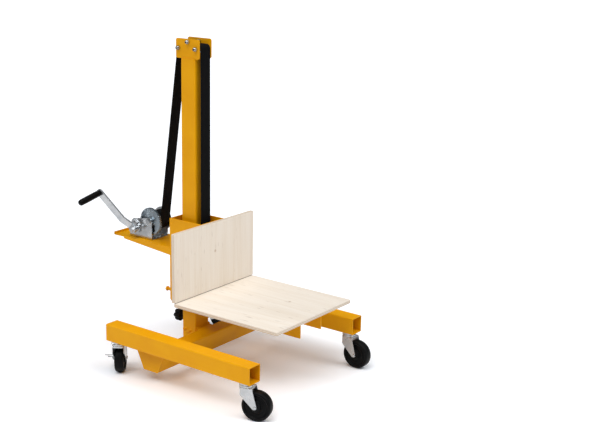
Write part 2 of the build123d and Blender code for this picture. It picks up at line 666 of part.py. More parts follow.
def back_screw_places():
    """(X, Z) of the screws that go through the front plate into the back board."""
    x = CHEEK_INNER - ARM_FLANGE / 2
    return [(s * x, z) for s in (-1, 1) for z in (DECK_TOP + BOARD * 3, CARRIAGE_TOP - BOARD * 2)]


def front_plate():
    """Plate between the cheeks behind the back board."""
    plate = block((-CHEEK_INNER, CHEEK_INNER), (BACK_REAR, FRONT_PLATE_INNER), (CARRIAGE_BOTTOM, CARRIAGE_TOP))
    for x, z in back_screw_places():
        plate -= rod_y(SCREW_RADIUS + HOLE, x, (BACK_REAR, FRONT_PLATE_INNER), z)
    return plate


def rear_plate():
    """Plate that closes the sleeve behind the mast, tapped for the adjusting screws."""
    z = (CARRIAGE_BOTTOM + CHEEK_CHAMFER, CARRIAGE_TOP)
    plate = block((-CHEEK_INNER, CHEEK_INNER), (REAR_PLATE_INNER, CARRIAGE_REAR), z)
    for s in (-1, 1):
        plate -= rod_y(ADJUSTER_RADIUS + HOLE, s * ADJUSTER_X, (REAR_PLATE_INNER, CARRIAGE_REAR), ADJUSTER_Z)
    return plate


def deck_board():
    """Plywood deck with rounded upper edges."""
    y = (BACK_FRONT - DECK_LENGTH, BACK_FRONT)
    board = block((-DECK_WIDTH / 2, DECK_WIDTH / 2), y, (DECK_UNDERSIDE, DECK_TOP))
    board = fillet(board.edges().filter_by(Axis.Z), 3.0)
    for x, y in deck_screw_places():
        board -= rod_z(SCREW_RADIUS + HOLE, x, y, (DECK_UNDERSIDE, DECK_UNDERSIDE + SCREW_BITE + GAP))
    return board


def back_board():
    """Plywood load guard that stands behind the deck, a narrow joint above it."""
    z = (DECK_TOP + BOARD_JOINT, DECK_TOP + BACK_HEIGHT)
    board = block((-BACK_WIDTH / 2, BACK_WIDTH / 2), (BACK_FRONT, BACK_REAR), z)
    board = fillet(board.edges().filter_by(Axis.Y), 3.0)
    for x, z in back_screw_places():
        board -= rod_y(SCREW_RADIUS + HOLE, x, (BACK_REAR - SCREW_BITE - GAP, BACK_REAR), z)
    return board


def board_screws():
    """Screws that hold the deck from below and the back board from behind."""
    screws = []
    for x, y in deck_screw_places():
        low = DECK_UNDERSIDE - PLATE
        head = rod_z(SCREW_HEAD_RADIUS, x, y, (low - SCREW_HEAD, low))
        screws.append(head + rod_z(SCREW_RADIUS, x, y, (low - SCREW_HEAD, DECK_UNDERSIDE + SCREW_BITE)))
    for x, z in back_screw_places():
        near = FRONT_PLATE_INNER
        head = rod_y(SCREW_HEAD_RADIUS, x, (near, near + SCREW_HEAD), z)
        screws.append(head + rod_y(SCREW_RADIUS, x, (BACK_REAR - SCREW_BITE, near + SCREW_HEAD), z))
    return screws


def cross_bolt(radius, head_radius, y, z):
    """Bolt across the carriage through both cheeks, with its head and nut outside them."""
    shank = rod_x(radius, (-HALF_CARRIAGE - GUIDE_HEAD, HALF_CARRIAGE + GUIDE_HEAD), y, z)
    head = hex_x(head_radius, (-HALF_CARRIAGE - GUIDE_HEAD, -HALF_CARRIAGE), y, z)
    return shank + head + hex_x(head_radius, (HALF_CARRIAGE, HALF_CARRIAGE + GUIDE_HEAD), y, z)


def carriage_cross_bolts():
    """Axle bolts of the two guide rollers and the pin that holds the strap's sewn eye."""
    bolts = [cross_bolt(GUIDE_AXLE_RADIUS, GUIDE_HEAD_RADIUS, y, z) for y, z in axle_places()]
    return bolts + [cross_bolt(ANCHOR_RADIUS, GUIDE_HEAD_RADIUS + 1, STRAP_FRONT_Y, ANCHOR_Z)]


def guide_roller(y, z):
    """Guide roller that runs on the mast, with long hubs that keep it central."""
    half = GUIDE_ROLLER_LENGTH / 2
    hub = CHEEK_INNER - GAP
    roller = rod_x(GUIDE_ROLLER_RADIUS, (-half, half), y, z)
    roller += rod_x(GUIDE_AXLE_RADIUS + PLATE, (-hub, hub), y, z)
    return roller - rod_x(GUIDE_AXLE_RADIUS + RUNNING, (-hub, hub), y, z)


def side_guide_pads():
    """Four sliding blocks between the cheeks and the mast's sides."""
    pads = []
    y = (MAST_Y - SIDE_PAD_DEPTH / 2, MAST_Y + SIDE_PAD_DEPTH / 2)
    for side in (-1, 1):
        x = sorted((side * (MAST_WIDTH / 2 + GAP), side * CHEEK_INNER))
        for z in (LOWER_PAD_Z, UPPER_PAD_Z):
            pads.append(block(x, y, (z - SIDE_PAD_HEIGHT / 2, z + SIDE_PAD_HEIGHT / 2)))
    return pads


def rear_guide_pad():
    """Sliding bar behind the mast, set by the two adjusting screws."""
    y = (MAST_REAR + GAP, MAST_REAR + GAP + REAR_PAD_DEPTH)
    z = (ADJUSTER_Z - REAR_PAD_HEIGHT / 2, ADJUSTER_Z + REAR_PAD_HEIGHT / 2)
    return block((-REAR_PAD_WIDTH / 2, REAR_PAD_WIDTH / 2), y, z)


def adjusting_screws():
    """Two screws through the rear plate that push the rear guide pad, each with its locknut."""
    screws = []
    tip = MAST_REAR + GAP + REAR_PAD_DEPTH
    end = CARRIAGE_REAR + ADJUSTER_REACH
    for s in (-1, 1):
        shank = rod_y(ADJUSTER_RADIUS, s * ADJUSTER_X, (tip, end), ADJUSTER_Z)
        nut = hex_y(ADJUSTER_NUT_RADIUS, s * ADJUSTER_X, (CARRIAGE_REAR, CARRIAGE_REAR + ADJUSTER_NUT), ADJUSTER_Z)
        head = hex_y(ADJUSTER_NUT_RADIUS, s * ADJUSTER_X, (end - ADJUSTER_NUT, end), ADJUSTER_Z)
        screws.append(shank + nut + head)
    return screws


def winch_bolt_places():
    """(X, Y) of the bolts that hold the winch on its tray."""
    ys = (DRUM_Y - WINCH_FRONT + WINCH_BOLT_INSET, DRUM_Y + WINCH_REAR - WINCH_BOLT_INSET)
    return [(s * WINCH_BOLT_X, y) for s in (-1, 1) for y in ys]


def winch_tray():
    """Folded tray behind the carriage: floor, rear lip, tapered side flanges lapping the cheeks."""
    half = HALF_CARRIAGE + TRAY_SHEET
    rear = CARRIAGE_REAR + TRAY_LENGTH
    low = TRAY_TOP - TRAY_SHEET
    tray = block((-half, half), (CARRIAGE_REAR, rear), (low, TRAY_TOP))
    tray += block((-half, half), (rear - TRAY_SHEET, rear), (low, TRAY_TOP + TRAY_LIP))
    front = (CARRIAGE_REAR, CARRIAGE_REAR + TRAY_SHEET)
    tray += block((-CHEEK_INNER, CHEEK_INNER), front, (low, TRAY_TOP + TRAY_FRONT_FLANGE))
    side_face = outline(
        (CARRIAGE_REAR - TRAY_LAP, TRAY_TOP),
        (CARRIAGE_REAR - TRAY_LAP, TRAY_TOP - TRAY_SIDE_DEPTH),
        (rear - TRAY_SIDE_SHORT, TRAY_TOP - TRAY_SIDE_END_DEPTH),
        (rear - TRAY_SIDE_SHORT, TRAY_TOP),
    )
    tray += plate_x(side_face, (-half, -HALF_CARRIAGE)) + plate_x(side_face, (HALF_CARRIAGE, half))
    for x, y in winch_bolt_places():
        tray -= rod_z(WINCH_BOLT_RADIUS + HOLE, x, y, (low, TRAY_TOP))
    return tray


def winch_frame():
    """Folded U frame: base on the tray, two cheeks drawn round the drum bolt, the pawl pin and a long foot."""
    y = (DRUM_Y - WINCH_FRONT, DRUM_Y + WINCH_REAR)
    foot = outline((y[0], TRAY_TOP), (y[1], TRAY_TOP), (y[1], TRAY_TOP + WINCH_FOOT), (y[0], TRAY_TOP + WINCH_FOOT))
    bolt_lobe = Pos(DRUM_Y, DRUM_Z) * Circle(WINCH_FRONT)
    pawl_lobe = Pos(PAWL_Y, PAWL_Z) * Circle(PAWL_LOBE)
    face = make_hull(bolt_lobe.edges() + pawl_lobe.edges() + foot.edges())
    face -= Pos(DRUM_Y, DRUM_Z) * Circle(DRUM_BOLT_RADIUS + HOLE)
    face -= Pos(PINION_Y, PINION_Z) * Circle(SHAFT_RADIUS + RUNNING)
    pin_hole = Pos(PAWL_Y, PAWL_Z) * Circle(PAWL_PIN_RADIUS + HOLE)
    frame = plate_x(face - pin_hole, (-WINCH_OUTER, -WINCH_INNER)) + plate_x(face, (WINCH_INNER, WINCH_OUTER))
    frame += block((-WINCH_OUTER, WINCH_OUTER), y, (TRAY_TOP, TRAY_TOP + WINCH_SHEET))
    frame = fillet(frame.edges().filter_by(Axis.Y).group_by(Axis.Z)[0], WINCH_BEND)
    for x, bolt_y in winch_bolt_places():
        frame -= rod_z(WINCH_BOLT_RADIUS + HOLE, x, bolt_y, (TRAY_TOP, TRAY_TOP + WINCH_SHEET))
    return frame


def winch_bolts():
    """Four mounting bolts with nuts under the tray."""
    bolts = []
    top = TRAY_TOP + WINCH_SHEET
    low = TRAY_TOP - TRAY_SHEET
    for x, y in winch_bolt_places():
        shank = rod_z(WINCH_BOLT_RADIUS, x, y, (low - WINCH_BOLT_HEAD, top + WINCH_BOLT_HEAD))
        head = hex_z(WINCH_BOLT_HEAD_RADIUS, x, y, (top, top + WINCH_BOLT_HEAD))
        bolts.append(shank + head + hex_z(WINCH_BOLT_HEAD_RADIUS, x, y, (low - WINCH_BOLT_HEAD, low)))
    return bolts


def drum_bolt():
    """Fixed bolt that the drum turns on."""
    end = WINCH_OUTER + DRUM_BOLT_HEAD
    shank = rod_x(DRUM_BOLT_RADIUS, (-end, end), DRUM_Y, DRUM_Z)
    head = hex_x(DRUM_BOLT_HEAD_RADIUS, (-end, -WINCH_OUTER), DRUM_Y, DRUM_Z)
    return shank + head + hex_x(DRUM_BOLT_HEAD_RADIUS, (WINCH_OUTER, end), DRUM_Y, DRUM_Z)


def drum():
    """Drum core with a thin flange on the far side and a hub out to the frame."""
    hub = WINCH_INNER - GAP
    body = rod_x(DRUM_CORE_RADIUS, (-GEAR_INNER_X, hub), DRUM_Y, DRUM_Z)
    body += rod_x(DRUM_FLANGE_RADIUS, (GEAR_INNER_X, GEAR_INNER_X + DRUM_FLANGE), DRUM_Y, DRUM_Z)
    return body - rod_x(DRUM_BOLT_RADIUS + RUNNING, (-GEAR_INNER_X, hub), DRUM_Y, DRUM_Z)


def strap_coil():
    """Strap wound on the drum."""
    x = (-STRAP_WIDTH / 2, STRAP_WIDTH / 2)
    return rod_x(COIL_RADIUS, x, DRUM_Y, DRUM_Z) - rod_x(DRUM_CORE_RADIUS + HOLE, x, DRUM_Y, DRUM_Z)


def gear_face(teeth, turn):
    """Involute spur gear about the origin, with one tooth pointing along the angle turn in degrees.

    A flank is the involute r = rb / cos(a), angle = tan(a) - a, from the base or root circle to the tip.
    """
    pitch = GEAR_MODULE * teeth / 2
    base = pitch * cos(radians(GEAR_PRESSURE))
    tip = pitch + GEAR_ADDENDUM * GEAR_MODULE
    root = pitch - GEAR_DEDENDUM * GEAR_MODULE
    pressure = radians(GEAR_PRESSURE)
    half_tooth = (pi * GEAR_MODULE / 2 - GEAR_BACKLASH) / (2 * pitch)
    start = max(base, root)
    flank = []
    for step in range(4):
        radius = start + (tip - start) * step / 3
        roll = acos(min(1.0, base / radius))
        flank.append((radius, half_tooth + (tan(pressure) - pressure) - (tan(roll) - roll)))
    flank.insert(0, (root, flank[0][1] + 0.2 * GEAR_MODULE / root))
    points = []
    for tooth in range(teeth):
        middle = radians(turn) + 2 * pi * tooth / teeth
        for radius, angle in flank:
            points.append((radius * cos(middle - angle), radius * sin(middle - angle)))
        for radius, angle in reversed(flank):
            points.append((radius * cos(middle + angle), radius * sin(middle + angle)))
    return outline(*points)


def drum_gear():
    """Large gear on the drum's end, dished on its near side, with a hub out to the near cheek."""
    gear = plate_x(Pos(DRUM_Y, DRUM_Z) * gear_face(GEAR_TEETH, PINION_DIRECTION), (-GEAR_OUTER_X, -GEAR_INNER_X))
    dish_radius = GEAR_MODULE * (GEAR_TEETH / 2 - GEAR_DEDENDUM) - GEAR_RIM
    dish_x = (-GEAR_OUTER_X, -GEAR_OUTER_X + GEAR_DISH)
    gear -= rod_x(dish_radius, dish_x, DRUM_Y, DRUM_Z) - rod_x(GEAR_BOSS_RADIUS, dish_x, DRUM_Y, DRUM_Z)
    hub = (-WINCH_INNER + GAP, -GEAR_INNER_X)
    gear += rod_x(DRUM_BOLT_RADIUS * 2, hub, DRUM_Y, DRUM_Z)
    return gear - rod_x(DRUM_BOLT_RADIUS + RUNNING, hub, DRUM_Y, DRUM_Z)


def pinion_middle():
    """X of the middle of the gear's face width."""
    return -(GEAR_INNER_X + GEAR_OUTER_X) / 2


def pinion_shaft():
    """Shaft across the frame with the pinion cut on it and a square seat for the crank."""
    far = WINCH_OUTER + WINCH_SHEET
    middle = pinion_middle()
    square = SHAFT_RADIUS * sqrt(2) * 0.95
    shaft = rod_x(SHAFT_RADIUS, (-CRANK_HUB_X + CRANK_SHEET / 2, far), PINION_Y, PINION_Z)
    face = Pos(PINION_Y, PINION_Z) * gear_face(PINION_TEETH, PINION_DIRECTION + 180 + 180 / PINION_TEETH)
    shaft += plate_x(face, (middle - PINION_WIDTH / 2, middle + PINION_WIDTH / 2))
    seat_end = -CRANK_HUB_X - CRANK_SHEET / 2
    seat = Pos(PINION_Y, PINION_Z) * Rot(0, 0, CRANK_DIRECTION) * Rectangle(square, square)
    return shaft + extrude(Plane.YZ.offset(seat_end) * seat, CRANK_SHEET)


def ratchet_wheel():
    """Saw-toothed wheel on the pinion shaft outside the near cheek."""
    points = []
    for n in range(RATCHET_TEETH):
        angle = 2 * pi * n / RATCHET_TEETH
        inner = RATCHET_RADIUS - RATCHET_TOOTH
        points.append((inner * cos(angle), inner * sin(angle)))
        points.append((RATCHET_RADIUS * cos(angle), RATCHET_RADIUS * sin(angle)))
    face = Pos(PINION_Y, PINION_Z) * (outline(*points) - Circle(SHAFT_RADIUS + HOLE))
    near = -WINCH_OUTER - 1
    return plate_x(face, (near - RATCHET_WIDTH, near))


def pawl_pin():
    """Pin in the near cheek that the pawl swings on."""
    x = -WINCH_OUTER - 1 - RATCHET_WIDTH
    pin = rod_x(PAWL_PIN_RADIUS, (x - GAP, -WINCH_INNER), PAWL_Y, PAWL_Z)
    return pin + rod_x(PAWL_PIN_RADIUS + 2, (x - GAP - 2, x - GAP), PAWL_Y, PAWL_Z)


def pawl():
    """Gravity pawl: an eye on its pin and a finger that rests on the ratchet teeth."""
    direction = radians(PAWL_TIP_DIRECTION)
    reach = RATCHET_RADIUS + GAP
    tip = (PINION_Y + reach * cos(direction), PINION_Z + reach * sin(direction))
    along = atan2(tip[1] - PAWL_Z, tip[0] - PAWL_Y)
    across = (-sin(along), cos(along))
    eye = PAWL_EYE_RADIUS * 0.9
    face = outline(
        tip,
        (PAWL_Y + across[0] * eye, PAWL_Z + across[1] * eye),
        (PAWL_Y - across[0] * eye, PAWL_Z - across[1] * eye),
        (tip[0] - across[0] * PAWL_TIP_WIDTH, tip[1] - across[1] * PAWL_TIP_WIDTH),
    )
    face = face + Pos(PAWL_Y, PAWL_Z) * Circle(PAWL_EYE_RADIUS)
    face -= Pos(PAWL_Y, PAWL_Z) * Circle(PAWL_PIN_RADIUS + RUNNING)
    near = -WINCH_OUTER - 1
    return plate_x(face, (near - RATCHET_WIDTH, near))


def at_crank(shape):
    """Place a piece drawn with the crank along +Y at x = 0, z = 0 onto the pinion shaft."""
    return Pos(0, PINION_Y, PINION_Z) * Rot(CRANK_DIRECTION, 0, 0) * shape


def crank_end():
    """(X, Y) of the arm's outer end, in the drawing with the crank along +Y."""
    run = CRANK_RADIUS - CRANK_RAMP_END
    return (-CRANK_HUB_X - CRANK_RAMP_OFFSET - run * tan(radians(CRANK_LEAN)), CRANK_RADIUS)


def crank_arm():
    """Flat bar: a hub end, a ramp away from the winch and a long end that leans outwards a little."""
    half = CRANK_WIDTH / 2
    end_x, end_y = crank_end()
    lean = radians(CRANK_LEAN)
    line = [(-CRANK_HUB_X, -half), (-CRANK_HUB_X, CRANK_RAMP_START)]
    line += [(-CRANK_HUB_X - CRANK_RAMP_OFFSET, CRANK_RAMP_END), (end_x - half * sin(lean), end_y + half * cos(lean))]
    path = FilletPolyline(*line, radius=8)
    bar = make_face(offset(path, CRANK_SHEET / 2, side=Side.BOTH))
    bar = extrude(Plane.XY.offset(-half) * bar, CRANK_WIDTH)
    across = Plane((-CRANK_HUB_X, 0, 0), (0, 1, 0), (1, 0, 0))
    hub_x = (-CRANK_HUB_X - CRANK_SHEET, -CRANK_HUB_X + CRANK_SHEET)
    hub_cut = block(hub_x, (-CRANK_WIDTH, 0), (-CRANK_WIDTH, CRANK_WIDTH)) - rod_x(half, hub_x, 0, 0)
    square = SHAFT_RADIUS * sqrt(2) * 0.95 + 2 * HOLE
    seat = extrude(across * Rectangle(square, square), CRANK_SHEET, both=True)
    tip_cut = Box(4 * CRANK_SHEET, CRANK_WIDTH, 2 * CRANK_WIDTH, align=(Align.CENTER, Align.MIN, Align.CENTER))
    tip_cut -= Rot(0, 90, 0) * Cylinder(half, 4 * CRANK_SHEET)
    tip = Pos(end_x, end_y, 0) * Rot(0, 0, CRANK_LEAN)
    hole = Rot(0, 90, 0) * Cylinder(GRIP_BOLT_RADIUS + HOLE, 4 * CRANK_SHEET)
    return at_crank(bar - hub_cut - seat - tip * tip_cut - tip * hole)


def crank_fasteners():
    """Spacer between the ratchet and the arm, nut outside the arm, and the bolt that the grip turns on."""
    low = -CRANK_HUB_X - CRANK_SHEET / 2
    nut = hex_x(CRANK_NUT_RADIUS, (low - CRANK_NUT, low), 0, 0)
    spacer_x = (-CRANK_HUB_X + CRANK_SHEET / 2, -WINCH_OUTER - 1 - RATCHET_WIDTH)
    spacer = rod_x(SPACER_RADIUS, spacer_x, 0, 0) - rod_x(SHAFT_RADIUS + HOLE, spacer_x, 0, 0)
    end_x, end_y = crank_end()
    inner = CRANK_SHEET / 2
    bolt = rod_x(GRIP_BOLT_RADIUS, (-inner - GRIP_LENGTH + GRIP_END, inner + GRIP_BOLT_HEAD), 0, 0)
    bolt += hex_x(GRIP_BOLT_HEAD_RADIUS, (inner, inner + GRIP_BOLT_HEAD), 0, 0)
    return [at_crank(nut), at_crank(spacer), at_crank(Pos(end_x, end_y, 0) * Rot(0, 0, CRANK_LEAN) * bolt)]


def grip():
    """Turning grip, closed and rounded at its outer end."""
    inner = -CRANK_SHEET / 2 - GAP
    body = rod_x(GRIP_RADIUS, (inner - GRIP_LENGTH, inner), 0, 0)
    body = fillet(body.edges(), GRIP_ROUND)
    body -= rod_x(GRIP_BOLT_RADIUS + RUNNING, (inner - GRIP_LENGTH + GRIP_END, inner), 0, 0)
    end_x, end_y = crank_end()
    return at_crank(Pos(end_x, end_y, 0) * Rot(0, 0, CRANK_LEAN) * body)


def build():
    """Every node of the stacker by name."""
    upper, lower = axle_places()
    nodes = {
        "left_leg": leg(1),
        "right_leg": leg(-1),
        "cross_beam": cross_beam(),
        "beam_end_plates": beam_end_plates(),
        "mast_post": mast_post(),
        "left_head_plate": head_plate(1),
        "right_head_plate": head_plate(-1),
        "head_bolts": head_bolts(),
        "front_head_roller": head_roller(FRONT_AXLE_Y),
        "rear_head_roller": head_roller(REAR_AXLE_Y),
        "strap_front": strap_front(),
        "strap_top": strap_top(),
        "strap_rear": strap_rear(),
        "strap_eye": strap_eye(),
        "strap_coil": strap_coil(),
        "lower_stop": lower_stop(),
        "knob_boss": knob_boss(),
        "star_knob": star_knob(),
        "caster_stems": caster_stems(),
        "caster_races": caster_races(),
        "left_cheek": cheek(1),
        "right_cheek": cheek(-1),
        "front_plate": front_plate(),
        "rear_plate": rear_plate(),
        "deck_board": deck_board(),
        "back_board": back_board(),
        "board_screws": board_screws(),
        "carriage_cross_bolts": carriage_cross_bolts(),
        "upper_guide_roller": guide_roller(*upper),
        "lower_guide_roller": guide_roller(*lower),
        "side_guide_pads": side_guide_pads(),
        "rear_guide_pad": rear_guide_pad(),
        "adjusting_screws": adjusting_screws(),
        "winch_tray": winch_tray(),
        "winch_frame": winch_frame(),
        "winch_bolts": winch_bolts(),
        "winch_pins": [drum_bolt(), pawl_pin()],
        "drum": drum(),
        "drum_gear": drum_gear(),
        "pinion_shaft": pinion_shaft(),
        "ratchet_wheel": ratchet_wheel(),
        "pawl": pawl(),
        "crank_arm": crank_arm(),
        "crank_fasteners": crank_fasteners(),
        "grip": grip(),
    }
    for name in CASTERS:
        nodes[name + "_fork"] = fork(name)
        nodes[name + "_axle"] = axle(name, name.startswith("rear"))
        nodes[name + "_wheel"] = wheel(name)
    for name in ("rear_right", "rear_left"):
        nodes[name + "_brake"] = brake_lever(name)
    return nodes


os.makedirs("parts", exist_ok=True)
for node, shape in build().items():
    solids = shape if isinstance(shape, list) else [shape]
    export_step(Compound(children=[solid for piece in solids for solid in piece.solids()]), f"parts/{node}.step")
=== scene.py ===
import json
from functools import partial
from math import acos, atan2, cos, hypot, pi, radians, sin

import bpy
import numpy as np
from bpy.props import FloatProperty, FloatVectorProperty, IntProperty, PointerProperty
from bpy.types import NodeSocket, Operator, Panel, PropertyGroup
from mathutils import Matrix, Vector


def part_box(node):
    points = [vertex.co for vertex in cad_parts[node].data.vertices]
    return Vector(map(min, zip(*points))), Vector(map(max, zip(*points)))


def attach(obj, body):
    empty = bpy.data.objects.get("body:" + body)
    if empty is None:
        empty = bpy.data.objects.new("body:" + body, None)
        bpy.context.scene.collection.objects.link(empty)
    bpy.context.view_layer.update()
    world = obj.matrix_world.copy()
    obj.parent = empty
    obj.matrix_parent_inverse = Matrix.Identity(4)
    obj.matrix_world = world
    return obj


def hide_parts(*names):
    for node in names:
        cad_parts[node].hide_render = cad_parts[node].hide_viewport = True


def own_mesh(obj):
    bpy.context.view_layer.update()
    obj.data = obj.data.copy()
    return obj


bl_info = {
    "name": "Winch Stacker Looks",
    "version": (1, 0, 0),
    "blender": (4, 5, 0),
    "location": "3D View > Sidebar > Stacker",
    "description": "Finishes, webbing, welds and moulded pieces of a manual winch stacker",
    "category": "Object",
}

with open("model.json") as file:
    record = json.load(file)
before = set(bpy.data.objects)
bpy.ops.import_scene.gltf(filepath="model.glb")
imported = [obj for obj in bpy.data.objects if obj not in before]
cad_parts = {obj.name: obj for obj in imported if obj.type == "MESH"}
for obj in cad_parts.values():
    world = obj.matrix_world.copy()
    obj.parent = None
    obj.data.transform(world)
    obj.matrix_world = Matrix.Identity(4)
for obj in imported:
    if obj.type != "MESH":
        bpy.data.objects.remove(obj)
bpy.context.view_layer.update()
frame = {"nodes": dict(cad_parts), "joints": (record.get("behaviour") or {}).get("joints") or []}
JOINTS = {joint["name"]: joint for joint in frame["joints"]}
CASTERS = ("front_right", "front_left", "rear_right", "rear_left")
SIDES = (-1, 1)
MM = 0.001
# Sockets of a Mix node that mixes colours: its factor, its two colours and its result.
FACTOR, MIX_A, MIX_B, MIXED = 0, 6, 7, 2
# Colours of small marks, as sRGB hex values.
RUBBER_FILM, PLASTIC_HAZE = "121213", "0D0D0E"
# The last of these colours is painted shade, laid into the joints between the boards.
PIN_KNOT, WOOD_FLECK, JOINT_SHADE = "A67E52", "8E7358", "3A2A1C"


def linear(code):
    """Linear colour of an sRGB hex code: c / 12.92 up to 0.04045, else ((c + 0.055) / 1.055) ** 2.4."""
    c = np.array([int(code[i:i + 2], 16) for i in (0, 2, 4)]) / 255
    return tuple(np.where(c <= 0.04045, c / 12.92, ((c + 0.055) / 1.055) ** 2.4).tolist())


def colour_property(name, description, code):
    """Property that holds a colour; its default is an sRGB hex value."""
    return FloatVectorProperty(name=name, description=description, subtype="COLOR", size=3, min=0, max=1,
                               default=linear(code))


def length_property(name, description, size, least):
    """Property that holds a length; its default and its lowest value are given in mm."""
    return FloatProperty(name=name, description=description, unit="LENGTH", default=size * MM,
                         min=least * MM)


class StackerColours(PropertyGroup):
    """Colours that a user would change."""

    paint: colour_property("Paint", "Powder coat where it lies thick", "EDA800")
    paint_thin: colour_property("Paint, thin", "Powder coat where it lies thin", "E8A100")
    zinc: colour_property("Zinc", "Bright zinc plating", "D4D6D8")
    zinc_cloud: colour_property("Zinc, clouded", "Zinc plating in its dull patches", "C0C4C8")
    # The gear's two colours are darker and bluer than the zinc above: painted shade and painted dark
    # reflection on the gear behind the winch cheek.
    gear: colour_property("Gear", "Plating on the machined drum gear", "B2BDC5")
    gear_cloud: colour_property("Gear, clouded", "Gear plating in its dull patches", "A4B0B9")
    webbing: colour_property("Webbing", "Yarn of the lifting strap", "0D0D0F")
    # The paler colour is also used as a painted sheen on the crowns of the yarn.
    webbing_worn_and_sheen: colour_property("Webbing, worn", "Crowns of the yarn where it rubs", "1D1D1F")
    rubber: colour_property("Rubber", "Wheels", "060607")
    plastic: colour_property("Plastic", "Grip, knob and guide pads", "070707")
    ply: colour_property("Plywood", "Face veneer", "F4EBDF")
    ply_grain: colour_property("Plywood grain", "Darker wood between the growth rings", "ECE0D0")
    ply_edge: colour_property("Plywood edge", "Cross plies on the cut edges", "C3AA88")
    floor: colour_property("Floor", "Studio floor", "F4F4F5")


class StackerSizes(PropertyGroup):
    """Sizes that a user would change."""

    rib: length_property("Webbing rib", "Width of one rib of the webbing", 3.1, 1)
    bead: length_property("Weld bead", "Radius of a weld bead", 2.6, 1)
    ripple: length_property("Weld ripple", "Distance between the ripples of a bead", 3.2, 1)
    thread: length_property("Thread pitch", "Pitch of the screw threads", 1.5, 0.5)
    swell: length_property("Grip swell", "How much thicker the grip is in its middle", 0.7, 0)
    lens: FloatProperty(name="Lens", description="Focal length of the camera, mm", default=68.7, min=10)
    facets: IntProperty(name="Facets", description="Facets round a wheel", default=112, min=24)


def fill(target, value):
    """Link a socket to an input, or set the input to a value."""
    if isinstance(value, NodeSocket):
        target.id_data.links.new(value, target)
    else:
        target.default_value = value


def node(tree, kind, inputs=None, **settings):
    """Add one shader node, set its settings and fill its inputs, which go by name or by number."""
    made = tree.nodes.new("ShaderNode" + kind)
    for name, value in settings.items():
        setattr(made, name, value)
    for name, value in (inputs or {}).items():
        fill(made.inputs[name], value)
    return made


def connect(shader, **sockets):
    """Fill the shader's inputs; underscores in their names stand for spaces."""
    for name, value in sockets.items():
        fill(shader.inputs[name.replace("_", " ")], value)


def blank_material(name):
    """A new material with only its shader and output: gives what adds nodes to it, and its shader."""
    made = bpy.data.materials.new(name)
    made.use_nodes = True
    made.node_tree.nodes.clear()
    add = partial(node, made.node_tree)
    shader = add("BsdfPrincipled")
    add("OutputMaterial", {"Surface": shader.outputs[0]})
    return add, shader


def rgba(colour):
    """Colour with full alpha, for a colour socket."""
    return (*colour, 1.0)


def powder_coated_steel(colours):
    """Yellow powder coat, sprayed and baked on welded steel."""
    # An even, saturated colour that drifts a little over a sheet, a soft gloss, and a faint orange peel.
    add, shader = blank_material("powder_coated_steel")
    # Orange peel is about 1.5 mm across; it is drawn at 4 mm so that it shows.
    drift_size, peel_size = 0.09, 0.004
    place = add("TexCoord").outputs["Object"]
    drift = add("TexNoise", {"Vector": place, "Scale": 1 / drift_size, "Detail": 3.0})
    spread = add("MapRange", {"Value": drift.outputs["Fac"], "From Min": 0.35, "From Max": 0.65})
    tone = add("Mix", {FACTOR: spread.outputs[0], MIX_A: rgba(colours.paint_thin),
                       MIX_B: rgba(colours.paint)}, data_type="RGBA")
    peel = add("TexNoise", {"Vector": place, "Scale": 1 / peel_size, "Detail": 1.0})
    gloss = add("MapRange", {"Value": drift.outputs["Fac"], "To Min": 0.36, "To Max": 0.5})
    edge = add("Bevel", {"Radius": 1.2 * MM}, samples=4)
    relief = add("Bump", {"Strength": 0.12, "Distance": 0.5 * MM, "Height": peel.outputs["Fac"],
                          "Normal": edge.outputs[0]})
    connect(shader, Base_Color=tone.outputs[MIXED], Roughness=gloss.outputs[0], Normal=relief.outputs[0],
            Specular_IOR_Level=0.16)


def zinc_plated_steel(name, clear, clouded, smooth, dull, edge_radius):
    """Zinc plating on steel: its colours in clear and clouded patches, its roughness there, its edges."""
    # A cool pale metal with soft clouds from the plating bath and a fine grain left by the rolled sheet.
    add, shader = blank_material(name)
    # The rolled grain is about 0.2 mm; it is drawn at 2 mm so that it shows.
    cloud_size, grain_size = 0.03, 0.002
    place = add("TexCoord").outputs["Object"]
    clouds = add("TexNoise", {"Vector": place, "Scale": 1 / cloud_size, "Detail": 3.0, "Roughness": 0.55})
    patches = {"Value": clouds.outputs["Fac"], "From Min": 0.3, "From Max": 0.7}
    spread = add("MapRange", patches)
    tone = add("Mix", {FACTOR: spread.outputs[0], MIX_A: rgba(clouded), MIX_B: rgba(clear)}, data_type="RGBA")
    grain = add("TexNoise", {"Vector": place, "Scale": 1 / grain_size, "Detail": 2.0})
    gloss = add("MapRange", {**patches, "To Min": dull, "To Max": smooth})
    edge = add("Bevel", {"Radius": edge_radius}, samples=4)
    relief = add("Bump", {"Strength": 0.1, "Distance": 0.2 * MM, "Height": grain.outputs["Fac"],
                          "Normal": edge.outputs[0]})
    connect(shader, Base_Color=tone.outputs[MIXED], Roughness=gloss.outputs[0], Normal=relief.outputs[0],
            Metallic=1.0)


